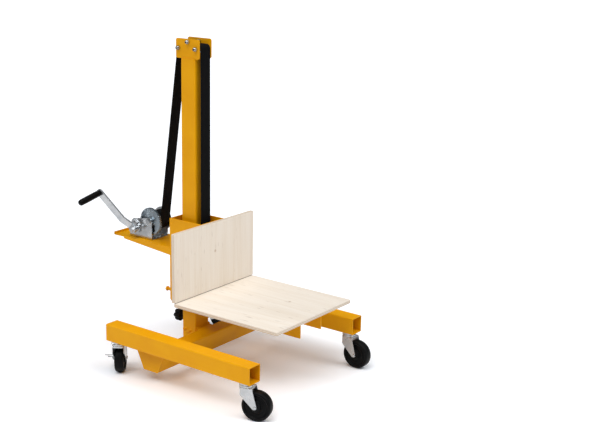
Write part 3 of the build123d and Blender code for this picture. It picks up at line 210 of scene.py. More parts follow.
def polyester_webbing(colours, rib):
    """Black polyester webbing woven in lengthwise ribs; its UV map is metres across and along the strap."""
    # A dull black with fine ribs, weft crossing them in short ticks, and paler crowns of the yarn: partly
    # wear where it rubs, partly a painted sheen where the raised yarn catches the light.
    add, shader = blank_material("polyester_webbing")
    # Weft picks lie 1 mm apart; they are drawn at 4 mm so that they show.
    weft_size, wear_size = 0.004, 0.03
    # A wave texture of scale k repeats every 2 pi / (20 k).
    wave = pi / 10
    weave = add("UVMap", uv_map="weave").outputs[0]
    warp = add("TexWave", {"Vector": weave, "Scale": wave / rib, "Distortion": 0.0}, bands_direction="X")
    weft = add("TexWave", {"Vector": weave, "Scale": wave / weft_size, "Distortion": 1.2, "Detail": 1.0},
               bands_direction="Y")
    cloth = add("Math", {0: warp.outputs["Fac"], 1: weft.outputs["Fac"]}, operation="MULTIPLY")
    wear = add("TexNoise", {"Vector": weave, "Scale": 1 / wear_size, "Detail": 4.0})
    # Paler crowns: wear in patches, and a painted sheen on the raised yarn.
    rubbed_and_sheen = add("Math", {0: cloth.outputs[0], 1: wear.outputs["Fac"]}, operation="MULTIPLY")
    tone = add("Mix", {FACTOR: rubbed_and_sheen.outputs[0], MIX_A: rgba(colours.webbing),
                       MIX_B: rgba(colours.webbing_worn_and_sheen)}, data_type="RGBA")
    relief = add("Bump", {"Strength": 0.5, "Distance": 0.4 * MM, "Height": cloth.outputs[0]})
    connect(shader, Base_Color=tone.outputs[MIXED], Normal=relief.outputs[0], Roughness=0.82,
            Specular_IOR_Level=0.1)


def moulded_rubber(colours):
    """Black rubber of the wheels, moulded and a little dusty."""
    # Near black with a dull skin; a thin grey film lies on it in patches.
    add, shader = blank_material("moulded_rubber")
    # The moulded skin is about 0.3 mm fine; it is drawn at 1.5 mm so that it shows.
    film_size, skin_size = 0.012, 0.0015
    place = add("TexCoord").outputs["Object"]
    film = add("TexNoise", {"Vector": place, "Scale": 1 / film_size, "Detail": 5.0, "Roughness": 0.65})
    spread = add("MapRange", {"Value": film.outputs["Fac"], "From Min": 0.45, "From Max": 0.8})
    tone = add("Mix", {FACTOR: spread.outputs[0], MIX_A: rgba(colours.rubber),
                       MIX_B: rgba(linear(RUBBER_FILM))}, data_type="RGBA")
    gloss = add("MapRange", {"Value": film.outputs["Fac"], "To Min": 0.34, "To Max": 0.62})
    pores = add("TexNoise", {"Vector": place, "Scale": 1 / skin_size, "Detail": 2.0})
    relief = add("Bump", {"Strength": 0.12, "Distance": 0.2 * MM, "Height": pores.outputs["Fac"]})
    connect(shader, Base_Color=tone.outputs[MIXED], Roughness=gloss.outputs[0], Normal=relief.outputs[0],
            Specular_IOR_Level=0.14)


def moulded_plastic(colours):
    """Black polypropylene of the grip, the knob and the guide pads, with an eroded mould texture."""
    # Black with a satin gloss that breaks up over a fine pebbled skin.
    add, shader = blank_material("moulded_polypropylene")
    # The mould texture is about 0.2 mm; it is drawn at 1 mm so that it shows.
    haze_size, pebble_size = 0.02, 0.001
    place = add("TexCoord").outputs["Object"]
    haze = add("TexNoise", {"Vector": place, "Scale": 1 / haze_size, "Detail": 3.0})
    tone = add("Mix", {FACTOR: haze.outputs["Fac"], MIX_A: rgba(colours.plastic),
                       MIX_B: rgba(linear(PLASTIC_HAZE))}, data_type="RGBA")
    gloss = add("MapRange", {"Value": haze.outputs["Fac"], "To Min": 0.3, "To Max": 0.5})
    pebble = add("TexVoronoi", {"Vector": place, "Scale": 1 / pebble_size})
    edge = add("Bevel", {"Radius": 0.8 * MM}, samples=4)
    relief = add("Bump", {"Strength": 0.15, "Distance": 0.1 * MM, "Height": pebble.outputs["Distance"],
                          "Normal": edge.outputs[0]})
    connect(shader, Base_Color=tone.outputs[MIXED], Roughness=gloss.outputs[0], Normal=relief.outputs[0],
            Specular_IOR_Level=0.14)


def birch_plywood(name, colours, streak_size, band_size, fleck_size, across, low, knot):
    """Birch plywood: face veneer with its grain and a pin knot, cross plies on cut edges, painted shade in
    joints.

    The three sizes are those of a mark along each axis, in metres; across is the axis across the plies, low
    is the board's lowest value on that axis, knot is the knot's place.
    """
    # A pale cream wood, fine darker streaks along the grain, broad bands of peeled veneer, striped edges.
    add, shader = blank_material(name)
    coords = add("TexCoord")
    place = coords.outputs["Object"]
    fibres, bands, flecks = (
        add("Mapping", {"Vector": place, "Scale": [1 / length for length in size]}).outputs[0]
        for size in (streak_size, band_size, fleck_size))

    # Face: streaks and bands, then the knot, then the flecks.
    streak = add("TexNoise", {"Vector": fibres, "Scale": 1.0, "Detail": 5.0, "Roughness": 0.6})
    band = add("TexNoise", {"Vector": bands, "Scale": 1.0, "Detail": 3.0, "Distortion": 0.8})
    both = add("Math", {0: streak.outputs["Fac"], 1: band.outputs["Fac"]}, operation="MULTIPLY")
    figure = add("MapRange", {"Value": both.outputs[0], "From Min": 0.16, "From Max": 0.4})
    face = add("Mix", {FACTOR: figure.outputs[0], MIX_A: rgba(colours.ply), MIX_B: rgba(colours.ply_grain)},
               data_type="RGBA")
    away = add("VectorMath", {0: place, 1: knot}, operation="DISTANCE")
    ring = add("MapRange", {"Value": away.outputs["Value"], "From Min": 2.0 * MM, "From Max": 7.0 * MM,
                            "To Min": 0.5, "To Max": 0.0})
    knotted = add("Mix", {FACTOR: ring.outputs[0], MIX_A: face.outputs[MIXED], MIX_B: rgba(linear(PIN_KNOT))},
                  data_type="RGBA")
    fleck = add("TexNoise", {"Vector": flecks, "Scale": 1.0, "Detail": 1.0})
    dark = add("MapRange", {"Value": fleck.outputs["Fac"], "From Min": 0.68, "From Max": 0.78, "To Min": 0.0,
                            "To Max": 0.3})
    flecked = add("Mix", {FACTOR: dark.outputs[0], MIX_A: knotted.outputs[MIXED],
                          MIX_B: rgba(linear(WOOD_FLECK))}, data_type="RGBA")

    # Edges: plies are about 1.3 mm thick; they are drawn 2.4 mm thick so that they show.
    ply = 2.4 * MM
    depth = add("SeparateXYZ", {0: place})
    layer = add("Math", {0: depth.outputs[across], 1: -low}, operation="ADD")
    folded = add("Math", {0: layer.outputs[0], 1: ply}, operation="PINGPONG")
    stripe = add("MapRange", {"Value": folded.outputs[0], "From Min": 0.8 * MM, "From Max": 1.6 * MM,
                              "To Min": 0.15, "To Max": 0.75})
    plies = add("Mix", {FACTOR: stripe.outputs[0], MIX_A: rgba(colours.ply), MIX_B: rgba(colours.ply_edge)},
                data_type="RGBA")
    facing = add("SeparateXYZ", {0: coords.outputs["Normal"]})
    flat = add("Math", {0: facing.outputs[across]}, operation="ABSOLUTE")
    on_face = add("Math", {0: flat.outputs[0], 1: 0.7}, operation="GREATER_THAN")
    tone = add("Mix", {FACTOR: on_face.outputs[0], MIX_A: plies.outputs[MIXED],
                       MIX_B: flecked.outputs[MIXED]}, data_type="RGBA")

    # Painted shade: the wood is darkened where another piece stands closer than 6 mm all round, as in the
    # joint, for the shade that falls there.
    open_air = add("AmbientOcclusion", {"Distance": 6 * MM}, samples=8)
    joint_shade_mask = add("MapRange", {"Value": open_air.outputs["AO"], "From Min": 0.12, "From Max": 0.42,
                            "To Min": 0.9, "To Max": 0.0})
    joint_shaded_tone = add("Mix", {FACTOR: joint_shade_mask.outputs[0], MIX_A: tone.outputs[MIXED], MIX_B: rgba(linear(JOINT_SHADE))},
                data_type="RGBA")
    gloss = add("MapRange", {"Value": streak.outputs["Fac"], "To Min": 0.5, "To Max": 0.72})
    edge = add("Bevel", {"Radius": 0.9 * MM}, samples=4)
    relief = add("Bump", {"Strength": 0.12, "Distance": 0.3 * MM, "Height": streak.outputs["Fac"],
                          "Normal": edge.outputs[0]})
    connect(shader, Base_Color=joint_shaded_tone.outputs[MIXED], Roughness=gloss.outputs[0], Normal=relief.outputs[0],
            Specular_IOR_Level=0.2)


def studio_floor(colours):
    """Matt white floor that keeps the object's shadow, a little overexposed for the camera alone."""
    add, shader = blank_material("studio_floor")
    # In reflections the floor is lit only near the object. For the camera it is just brighter than white.
    lit_reach, dark_reach, darkness = 1.7, 2.2, 0.88
    black, camera_white = (0, 0, 0, 1), (1.1, 1.13, 1.18, 1)
    place = add("TexCoord").outputs["Object"]
    path = add("LightPath")
    away = add("VectorMath", {0: place}, operation="LENGTH")
    far = add("MapRange", {"Value": away.outputs["Value"], "From Min": lit_reach, "From Max": dark_reach,
                           "To Min": 0.0, "To Max": darkness})
    hidden = add("Math", {0: far.outputs[0], 1: path.outputs["Is Glossy Ray"]}, operation="MULTIPLY")
    lit = add("Mix", {FACTOR: hidden.outputs[0], MIX_A: rgba(colours.floor), MIX_B: black}, data_type="RGBA")
    tone = add("Mix", {FACTOR: path.outputs["Is Camera Ray"], MIX_A: lit.outputs[MIXED], MIX_B: camera_white},
               data_type="RGBA")
    connect(shader, Base_Color=tone.outputs[MIXED], Roughness=1.0, Specular_IOR_Level=0.0)


def grid_faces(rows, columns, wrap_rows=False, wrap_columns=False):
    """Quads of a grid of points numbered row by row: (i, j), (i, j+1), (i+1, j+1), (i+1, j)."""
    i = np.arange(rows if wrap_rows else rows - 1)[:, None]
    j = np.arange(columns if wrap_columns else columns - 1)[None, :]
    here, below, beside = i * columns, (i + 1) % rows * columns, (j + 1) % columns
    corners = np.broadcast_arrays(here + j, here + beside, below + beside, below + j)
    return np.stack(corners, -1).reshape(-1, 4)


def fan(start, count, centre):
    """Triangles from a ring of points, numbered from start, to a point in its middle."""
    ring = np.arange(count)
    return np.stack([start + ring, start + (ring + 1) % count, np.full(count, centre)], -1)


def skin(points, wrap_rows=False):
    """Closed skin of an (m, n, 3) grid whose rows are rings: quads between rings, a fan over each open end.

    The enclosed volume is the sum of a . (b x c) / 6 over its triangles; where it is negative the faces turn
    round.
    """
    rows, columns = points.shape[:2]
    quads = grid_faces(rows, columns, wrap_rows, True)
    flat = points.reshape(-1, 3)
    triangles = np.zeros((0, 3), int)
    if not wrap_rows:
        last = (rows - 1) * columns
        flat = np.vstack([flat, points[0].mean(0), points[-1].mean(0)])
        triangles = np.vstack([fan(0, columns, len(flat) - 2)[:, ::-1], fan(last, columns, len(flat) - 1)])
    every = np.vstack([quads[:, :3], quads[:, [0, 2, 3]], triangles])
    a, b, c = (flat[every[:, k]] - flat.mean(0) for k in range(3))
    if np.einsum("ij,ij->", a, np.cross(b, c)) < 0:
        quads, triangles = quads[:, ::-1], triangles[:, ::-1]
    return flat, quads, triangles


def joined(skins):
    """Several skins as one: points stacked, face numbers moved on by the points before them."""
    starts = np.cumsum([0] + [len(points) for points, quads, triangles in skins])
    points = np.vstack([s[0] for s in skins])
    quads = np.vstack([s[1] + start for s, start in zip(skins, starts)])
    triangles = np.vstack([s[2] + start for s, start in zip(skins, starts)])
    return points, quads, triangles


def new_object(name, data):
    """New object in the scene's own collection."""
    made = bpy.data.objects.new(name, data)
    bpy.context.scene.collection.objects.link(made)
    return made


def turn(right, up, back):
    """Matrix that turns a lamp or a camera, whose line of sight is -back."""
    return Matrix(np.column_stack([right, up, back]).tolist()).to_4x4()


def piece(name, shape, material, body, uv=None, sharp=50):
    """New piece at the origin from a skin, riding on a body; uv holds one pair for each point of the skin."""
    points, quads, triangles = shape
    mesh = bpy.data.meshes.new(name)
    mesh.from_pydata(points.tolist(), [], quads.tolist() + triangles.tolist())
    mesh.materials.append(bpy.data.materials[material])
    mesh.polygons.foreach_set("use_smooth", np.ones(len(mesh.polygons), bool))
    mesh.set_sharp_from_angle(angle=radians(sharp))
    if uv is not None:
        corner = np.empty(len(mesh.loops), np.int32)
        mesh.loops.foreach_get("vertex_index", corner)
        mesh.uv_layers.new(name="weave").data.foreach_set("uv", uv[corner].astype(np.float32).ravel())
    mesh.update()
    made = new_object(name, mesh)
    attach(made, body)
    return made


def dress(material, *names):
    """Give CAD nodes a material."""
    for name in names:
        solid = frame["nodes"][name]
        if not solid.material_slots:
            solid.data.materials.append(None)
        for place in solid.material_slots:
            place.material = bpy.data.materials[material]


def unit(vectors):
    """Vectors along the last axis, each divided by its length."""
    return vectors / np.linalg.norm(vectors, axis=-1, keepdims=True)


def walked(points):
    """Distance walked along a polyline, at each of its points: the running sum of its steps."""
    return np.concatenate([[0], np.cumsum(np.linalg.norm(np.diff(points, axis=0), axis=1))])


def resampled(points, step):
    """Points at equal steps along a polyline: each coordinate interpolated over the distance walked."""
    at = walked(points)
    even = np.linspace(0, at[-1], max(2, int(round(at[-1] / step)) + 1))
    return np.stack([np.interp(even, at, points[:, k]) for k in range(3)], -1), even


def axes_round(axis):
    """Unit axis a and two unit vectors across it: u = h x a, with h upright unless a is, and v = a x u."""
    a = unit(np.array(axis, float))
    helper = np.array([0.0, 0.0, 1.0]) if abs(a[2]) < 0.9 else np.array([1.0, 0.0, 0.0])
    u = unit(np.cross(helper, a))
    return a, u, np.cross(a, u)


def round_angles(count):
    """Angles of a ring of points, evenly spaced over a full turn."""
    return np.linspace(0, 2 * pi, count, endpoint=False)


def turned(profile, centre, axis, facets, ring=True):
    """Profile (x along the axis, r from it) turned round it: c + x a + r (cos t u + sin t v).

    The profile of a ring closes on itself; otherwise its two ends are closed by fans.
    """
    a, u, v = axes_round(axis)
    t = round_angles(facets)[None, :, None]
    x, r = profile[:, None, 0:1], profile[:, None, 1:2]
    return skin(np.array(centre) + x * a + r * (np.cos(t) * u + np.sin(t) * v), wrap_rows=ring)


def eased_board(low, high, corner, ease):
    """Flat board: rounded rectangles (sx (X - R) + r cos t, sy (Y - R) + r sin t), stacked through it.

    The lowest and the highest one are smaller by the eased edge, r = R - ease.
    """
    steps = 9
    t = (np.arange(4)[:, None] * pi / 2 + np.linspace(0, pi / 2, steps)).ravel()
    sign = np.stack([np.repeat([1, -1, -1, 1], steps), np.repeat([1, 1, -1, -1], steps)], -1)
    middle, half = (low[:2] + high[:2]) / 2, (high[:2] - low[:2]) / 2
    z = np.array([low[2], low[2] + ease, high[2] - ease, high[2]])
    r = np.array([corner - ease, corner, corner, corner - ease])[:, None, None]
    flat = middle + sign * (half - corner) + r * np.stack([np.cos(t), np.sin(t)], -1)
    return skin(np.concatenate([flat, np.broadcast_to(z[:, None, None], (4, len(t), 1))], -1))


def webbing_section(width, thickness, rib):
    """Outline of ribbed webbing: over one face and back under the other, closer points at both borders.

    Half its thickness is h(w) = T/2 (1 - |2w/W|^12)^(1/2) (1 - 0.09 (1 + cos(2 pi w / rib))).
    """
    count = int(width / rib) * 6
    w = -np.cos(np.linspace(0, pi, count)) * 0.35 + np.linspace(-1, 1, count) * 0.65
    h = np.sqrt(np.clip(1 - np.abs(w) ** 12, 0, 1)) * (1 - 0.09 * (1 + np.cos(pi * w * width / rib)))
    over = np.stack([w * width / 2, h * thickness / 2], -1)
    under = np.stack([w[-2:0:-1] * width / 2, -h[-2:0:-1] * thickness / 2], -1)
    return np.vstack([over, under])


def webbing_along(path, out, section):
    """Webbing carried along a path in the (y, z) plane: p + w x + h out, and its weave map (w, distance)."""
    out = np.broadcast_to(out, path.shape)
    points = path[:, None, :] + section[None, :, 1:2] * out[:, None, :]
    points = points + section[None, :, 0:1] * np.array([1.0, 0.0, 0.0])
    at = walked(path)
    uv = np.stack(np.broadcast_arrays(section[None, :, 0], at[:, None]), -1).reshape(-1, 2)
    return skin(points), np.vstack([uv, [[0, at[0]], [0, at[-1]]]])


def yz(y, z):
    """Points in the plane x = 0."""
    return np.stack([np.zeros_like(y), y, z], -1)


def bead_along(path, lift, radius, ripple, seed, wrap=False):
    """Rippled weld bead: rings of radius R (1 + 0.12 cos(2 pi s / ripple + wander) + 0.08 wave) on a path.

    The ripples wander by two long waves and the line sways sideways by a short one, all with seeded phases.
    An open bead thins at both ends as sqrt(1 - d^2).
    """
    if wrap:
        path = np.vstack([path, path[:1]])
    path, s = resampled(path, ripple / 6)
    if wrap:
        path, s = path[:-1], s[:-1]
        ahead = np.roll(path, -1, axis=0) - np.roll(path, 1, axis=0)
    else:
        ahead = np.gradient(path, axis=0)
    along = unit(ahead)
    side = unit(np.cross(along, np.array(lift, float)))
    up = np.cross(side, along)
    wave_lengths = np.array([0.047, 0.031, 0.019, 0.012])
    phase = np.random.default_rng(seed).uniform(0, 2 * pi, len(wave_lengths))
    total = s[-1]
    turns = 2 * pi * np.round(total / wave_lengths) / total
    waves = np.sin(turns[:, None] * s[None, :] + phase[:, None])
    wander = 0.9 * waves[0] + 0.7 * waves[1]
    count = max(1, round(total / ripple))
    size = radius * (1 + 0.12 * np.cos(2 * pi * count * s / total + wander) + 0.08 * waves[2])
    if not wrap:
        taper = 1.6 * radius
        d = np.clip(1 - np.minimum(s, total - s) / taper, 0, 1)
        size = size * np.sqrt(np.clip(1 - d ** 2, 0.02, 1))
    sway = 0.16 * radius * waves[3]
    path = path + side * sway[:, None]
    t = round_angles(12)[None, :, None]
    ring = size[:, None, None] * (np.cos(t) * side[:, None, :] + np.sin(t) * up[:, None, :])
    return skin(path[:, None, :] + ring, wrap_rows=wrap)


def threaded(start, axis, length, radius, pitch):
    """Screw thread round an axis: r(s, t) = R + 0.3 pitch (2 |frac(s / pitch - t / 2 pi) - 1/2|)."""
    a, u, v = axes_round(axis)
    s = np.linspace(0, length, int(length / pitch * 8) + 1)[:, None]
    t = round_angles(28)[None, :]
    depth = 0.3 * pitch
    r = radius + depth * 2 * np.abs((s / pitch - t / (2 * pi)) % 1.0 - 0.5)
    round_t = np.cos(t)[..., None] * u + np.sin(t)[..., None] * v
    return skin(np.array(start) + s[..., None] * a + r[..., None] * round_t)


class STACKER_OT_stage(Operator):
    """Set the floor, the soft lights, the surroundings and the camera"""

    bl_idname = "stacker.stage"
    bl_label = "Studio"

    def execute(self, context):
        scene = context.scene
        studio_floor(scene.stacker_colours)
        # Floor: a flat grid at z = 0, 40 m to each side.
        reach, count = 40, 9
        side = np.linspace(-reach, reach, count)
        x, y = np.meshgrid(side, side)
        points = np.stack([x, y, np.zeros_like(x)], -1)
        mesh = bpy.data.meshes.new("floor")
        mesh.from_pydata(points.reshape(-1, 3).tolist(), [], grid_faces(count, count).tolist())
        mesh.materials.append(bpy.data.materials["studio_floor"])
        floor = new_object("floor", mesh)

        # Surroundings: dark at the horizon and lighter overhead, and white for the camera.
        dark, light, white = 0.01, 0.55, 1.0
        world = bpy.data.worlds.new("studio")
        world.use_nodes = True
        world.node_tree.nodes.clear()
        add = partial(node, world.node_tree)
        place = add("TexCoord").outputs["Generated"]
        height = add("SeparateXYZ", {0: place})
        level = add("MapRange", {"Value": height.outputs["Z"], "From Min": 0.2, "From Max": 1.0,
                                 "To Min": dark, "To Max": light})
        path = add("LightPath")
        seen = add("Math", {0: path.outputs["Is Camera Ray"], 1: path.outputs["Is Transmission Ray"]},
                   operation="MAXIMUM")
        strength = add("Mix", {"Factor": seen.outputs[0], "A": level.outputs[0], "B": white},
                       data_type="FLOAT")
        sky = add("Background", {"Color": (1, 1, 1, 1), "Strength": strength.outputs[0]})
        add("OutputWorld", {"Surface": sky.outputs[0]})
        scene.world = world

        # Lamps: broad softboxes on the left of the picture and on its right, and a low one behind the winch.
        for name, travel, energy, spread in (
                ("left_softbox", (0.52, 0.1, -0.85), 1.52, 38),
                ("right_softbox", (-0.1, 0.68, -0.73), 1.2, 40),
                ("rear_softbox", (0.34, -0.94, -0.42), 0.55, 9)):
            lamp = bpy.data.lights.new(name, "SUN")
            lamp.energy = energy
            lamp.angle = radians(spread)
            back = -unit(np.array(travel))
            right = unit(np.cross([0.0, 0.0, 1.0], back))
            new_object(name, lamp).matrix_world = turn(right, np.cross(back, right), back)

        # Camera: place, heading, tilt and roll fitted to the photograph.
        spot = (-2.908, -2.4793, 1.556)
        azimuth, tilt, roll = radians(-53.89), radians(14.56), radians(1.12)
        back = np.array([sin(azimuth) * cos(tilt), -cos(azimuth) * cos(tilt), sin(tilt)])
        level_right = np.array([cos(azimuth), sin(azimuth), 0.0])
        level_up = np.cross(back, level_right)
        right = cos(roll) * level_right + sin(roll) * level_up
        up = cos(roll) * level_up - sin(roll) * level_right
        lens = bpy.data.cameras.new("camera")
        lens.sensor_fit = "HORIZONTAL"
        lens.sensor_width = 36.0
        lens.lens = scene.stacker_sizes.lens
        lens.clip_end = 200.0
        camera = new_object("camera", lens)
        place = turn(right, up, back)
        place.translation = spot
        camera.matrix_world = place
        scene.camera = camera
        scene.view_settings.view_transform = "Standard"
        return {"FINISHED"}


class STACKER_OT_painted_steel(Operator):
    """Powder-coat the legs, beam, mast, carriage and winch tray"""

    bl_idname = "stacker.painted_steel"
    bl_label = "Painted steel"

    def execute(self, context):
        powder_coated_steel(context.scene.stacker_colours)
        dress("powder_coated_steel", "left_leg", "right_leg", "cross_beam", "beam_end_plates", "mast_post",
              "left_head_plate", "right_head_plate", "lower_stop", "knob_boss", "left_cheek", "right_cheek",
              "front_plate", "rear_plate", "winch_tray", "adjusting_screws")
        return {"FINISHED"}


class STACKER_OT_zinc_hardware(Operator):
    """Plate the winch, the crank, the casters and the fasteners"""

    bl_idname = "stacker.zinc_hardware"
    bl_label = "Zinc hardware"

    def execute(self, context):
        colours = context.scene.stacker_colours
        # The gear's plating is a darker, bluer copy of the pressings' zinc, as painted shade.
        plating, gear = (colours.zinc, colours.zinc_cloud), (colours.gear, colours.gear_cloud)
        for name, tones, smooth, dull, edge in (
                ("zinc_plated_pressings", plating, 0.23, 0.33, 1.0 * MM),
                ("zinc_plated_turned_steel", plating, 0.16, 0.28, 0.5 * MM),
                ("zinc_plated_gear_shaded", gear, 0.23, 0.33, 0.4 * MM)):
            zinc_plated_steel(name, *tones, smooth, dull, edge)
        dress("zinc_plated_gear_shaded", "drum_gear")
        dress("zinc_plated_pressings", "winch_frame", "crank_arm", "caster_races", "drum", "rear_right_brake",
              "rear_left_brake", *(name + "_fork" for name in CASTERS))
        dress("zinc_plated_turned_steel", "head_bolts", "caster_stems", "carriage_cross_bolts", "winch_bolts",
              "winch_pins", "pinion_shaft", "ratchet_wheel", "pawl", "crank_fasteners", "board_screws",
              "front_head_roller", "rear_head_roller", "upper_guide_roller", "lower_guide_roller",
              *(name + "_axle" for name in CASTERS))
        return {"FINISHED"}


class STACKER_OT_boards(Operator):
    """Finish the plywood deck and back board"""

    bl_idname = "stacker.boards"
    bl_label = "Plywood boards"

    def execute(self, context):
        colours = context.scene.stacker_colours
        deck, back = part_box("deck_board"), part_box("back_board")
        # Streaks are about 3 mm wide and 200 mm long, bands 30 mm and 500 mm, flecks 7 mm and 50 mm.
        fleck = (0.007, 0.05, 0.05)
        deck_knot = (0.06, deck[0].y + 0.15, deck[1].z)
        back_knot = (0.0, back[0].y, back[0].z + 0.138)
        birch_plywood("birch_plywood_deck", colours, (0.003, 0.2, 0.02), (0.03, 0.5, 0.1), fleck,
                      "Z", deck[0].z, deck_knot)
        birch_plywood("birch_plywood_back", colours, (0.003, 0.02, 0.2), (0.03, 0.1, 0.5), fleck,
                      "Y", back[0].y, back_knot)
        dress("birch_plywood_back", "back_board")
        # The deck laps 5 mm under the back board, so that nothing shows through the joint.
        lap, corner, ease = 5 * MM, 3 * MM, 0.5 * MM
        shape = eased_board(np.array(deck[0]), np.array(deck[1]) + [0, lap, 0], corner, ease)
        made = piece("plywood_deck", shape, "birch_plywood_deck", "carriage", sharp=30)
        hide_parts("deck_board")
        return {"FINISHED"}


class STACKER_OT_strap(Operator):
    """Weave the lifting strap: its two runs, the wrap over the head, the coil on the drum and the sewn eye"""

    bl_idname = "stacker.strap"
    bl_label = "Lifting strap"

    def execute(self, context):
        sizes = context.scene.stacker_sizes
        polyester_webbing(context.scene.stacker_colours, sizes.rib)
        low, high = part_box("strap_front")
        width, thick = high.x - low.x, high.y - low.y
        section = webbing_section(width, thick, sizes.rib)
        # The coil and the eye, which are mostly hidden, have six broad ribs.
        coarse = webbing_section(width, thick, width / 6)
        front_y, head_z = JOINTS["front_head_spin"]["pos_m"][1:]
        rear_y = JOINTS["rear_head_spin"]["pos_m"][1]
        drum_y, drum_z = JOINTS["drum_spin"]["pos_m"][1:]
        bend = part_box("strap_top")[1].z - head_z - thick / 2
        coil = (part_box("strap_coil")[1].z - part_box("strap_coil")[0].z) / 2
        run_points, bend_points, turn_points = 90, 24, 56

        def woven(name, body, path, out, outline):
            """Webbing along a path, as a new piece that rides on a body."""
            shape, uv = webbing_along(path, out, outline)
            return piece(name, shape, "polyester_webbing", body, uv)

        # Front run: straight down from the front roller to the sewn eye.
        z = np.linspace(low.z, head_z, run_points)
        path = yz(np.full_like(z, front_y - bend), z)
        made = woven("front_webbing", "base", path, (0.0, -1.0, 0.0), section)
        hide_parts("strap_front")
        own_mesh(made)

        # Rear run: the inner tangent of the rear roller and the coil, between points c1 + r1 n and c2 - r2 n.
        off_coil = 0.3 * MM
        reach = bend + coil + off_coil + thick / 2
        drop, back = head_z - drum_z, drum_y - rear_y
        slope = acos(reach / hypot(back, drop)) - atan2(drop, back)
        out = np.array([0.0, cos(slope), sin(slope)])
        top = np.array([0.0, rear_y, head_z]) + bend * out
        foot = np.array([0.0, drum_y, drum_z]) - (reach - bend) * out
        path = top + np.linspace(0, 1, run_points)[:, None] * (foot - top)
        made = woven("rear_webbing", "base", path, out, section)
        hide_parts("strap_rear")
        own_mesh(made)

        # Wrap: a quarter turn on the front roller, a flat, and a shorter turn on the rear roller.
        first = np.linspace(pi, pi / 2, bend_points)
        last = np.linspace(pi / 2, slope, bend_points)
        path = np.vstack([yz(front_y + bend * np.cos(first), head_z + bend * np.sin(first)),
                          yz(rear_y + bend * np.cos(last), head_z + bend * np.sin(last))])
        out = np.vstack([yz(np.cos(first), np.sin(first)), yz(np.cos(last), np.sin(last))])
        made = woven("head_webbing", "base", path, out, section)
        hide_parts("strap_top")

        # Coil: a spiral r = a + b t from the drum's core to the outer turn.
        drum_radius, off_drum, turn_pitch = 16.0 * MM, 0.1 * MM, thick * 1.06
        core = drum_radius + thick / 2 + off_drum
        turns = (coil - thick / 2 - core) / turn_pitch
        t = np.linspace(0, 2 * pi * turns, int(turns * turn_points))
        t = t + slope + pi - t[-1]
        r = np.linspace(core, coil - thick / 2, len(t))
        path = yz(drum_y + r * np.cos(t), drum_z + r * np.sin(t))
        made = woven("drum_webbing", "drum", path, yz(np.cos(t), np.sin(t)), coarse)
        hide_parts("strap_coil")

        # Sewn eye: down one side of the tail, round the anchor pin, up the other side.
        low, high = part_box("strap_eye")
        pin = (high.y - low.y) / 2 - thick / 2
        eye_y = (low.y + high.y) / 2
        eye_z = low.z + pin + thick / 2
        opening, neck = 0.55, 2.1 * pin
        t = np.linspace(pi / 2 + opening, 2 * pi + pi / 2 - opening, 48)
        loop = yz(eye_y + pin * np.cos(t), eye_z + pin * np.sin(t))
        tail = np.linspace(high.z, eye_z + neck, 14)
        gap = thick / 2 + 0.02 * MM
        path = np.vstack([yz(np.full_like(tail, eye_y - gap), tail), loop,
                          yz(np.full_like(tail, eye_y + gap), tail[::-1])])
        ahead = unit(np.gradient(path, axis=0))
        out = np.stack([np.zeros(len(path)), ahead[:, 2], -ahead[:, 1]], -1)
        made = woven("eye_webbing", "carriage", path, out, coarse)
        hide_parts("strap_eye")

        # Stitches: four rows of thread in a zigzag, z = A tri(x), laid on both faces of the tail.
        yarn, zig_depth, zigs, row_width = 0.45 * MM, 7 * MM, 30, width * 0.82
        s = np.linspace(0, 1, 241)
        x = (s - 0.5) * row_width
        zig = np.abs((s * zigs) % 2 - 1) * zig_depth
        t = round_angles(6)[None, :, None]
        out = np.array([0.0, 1.0, 0.0])
        rows = []
        for face in SIDES:
            y = np.full_like(s, eye_y + face * (thick + 0.15 * MM))
            for height in (0.3, 0.5, 0.7, 0.9):
                row = np.stack([x, y, eye_z + height * (high.z - eye_z) - zig], -1)
                side = np.cross(unit(np.gradient(row, axis=0)), out)
                rows.append(skin(row[:, None, :] + yarn * (np.cos(t) * side[:, None, :] + np.sin(t) * out)))
        stitches = joined(rows)
        uv = np.zeros((len(stitches[0]), 2))
        piece("eye_stitches", stitches, "polyester_webbing", "carriage", uv)
        return {"FINISHED"}


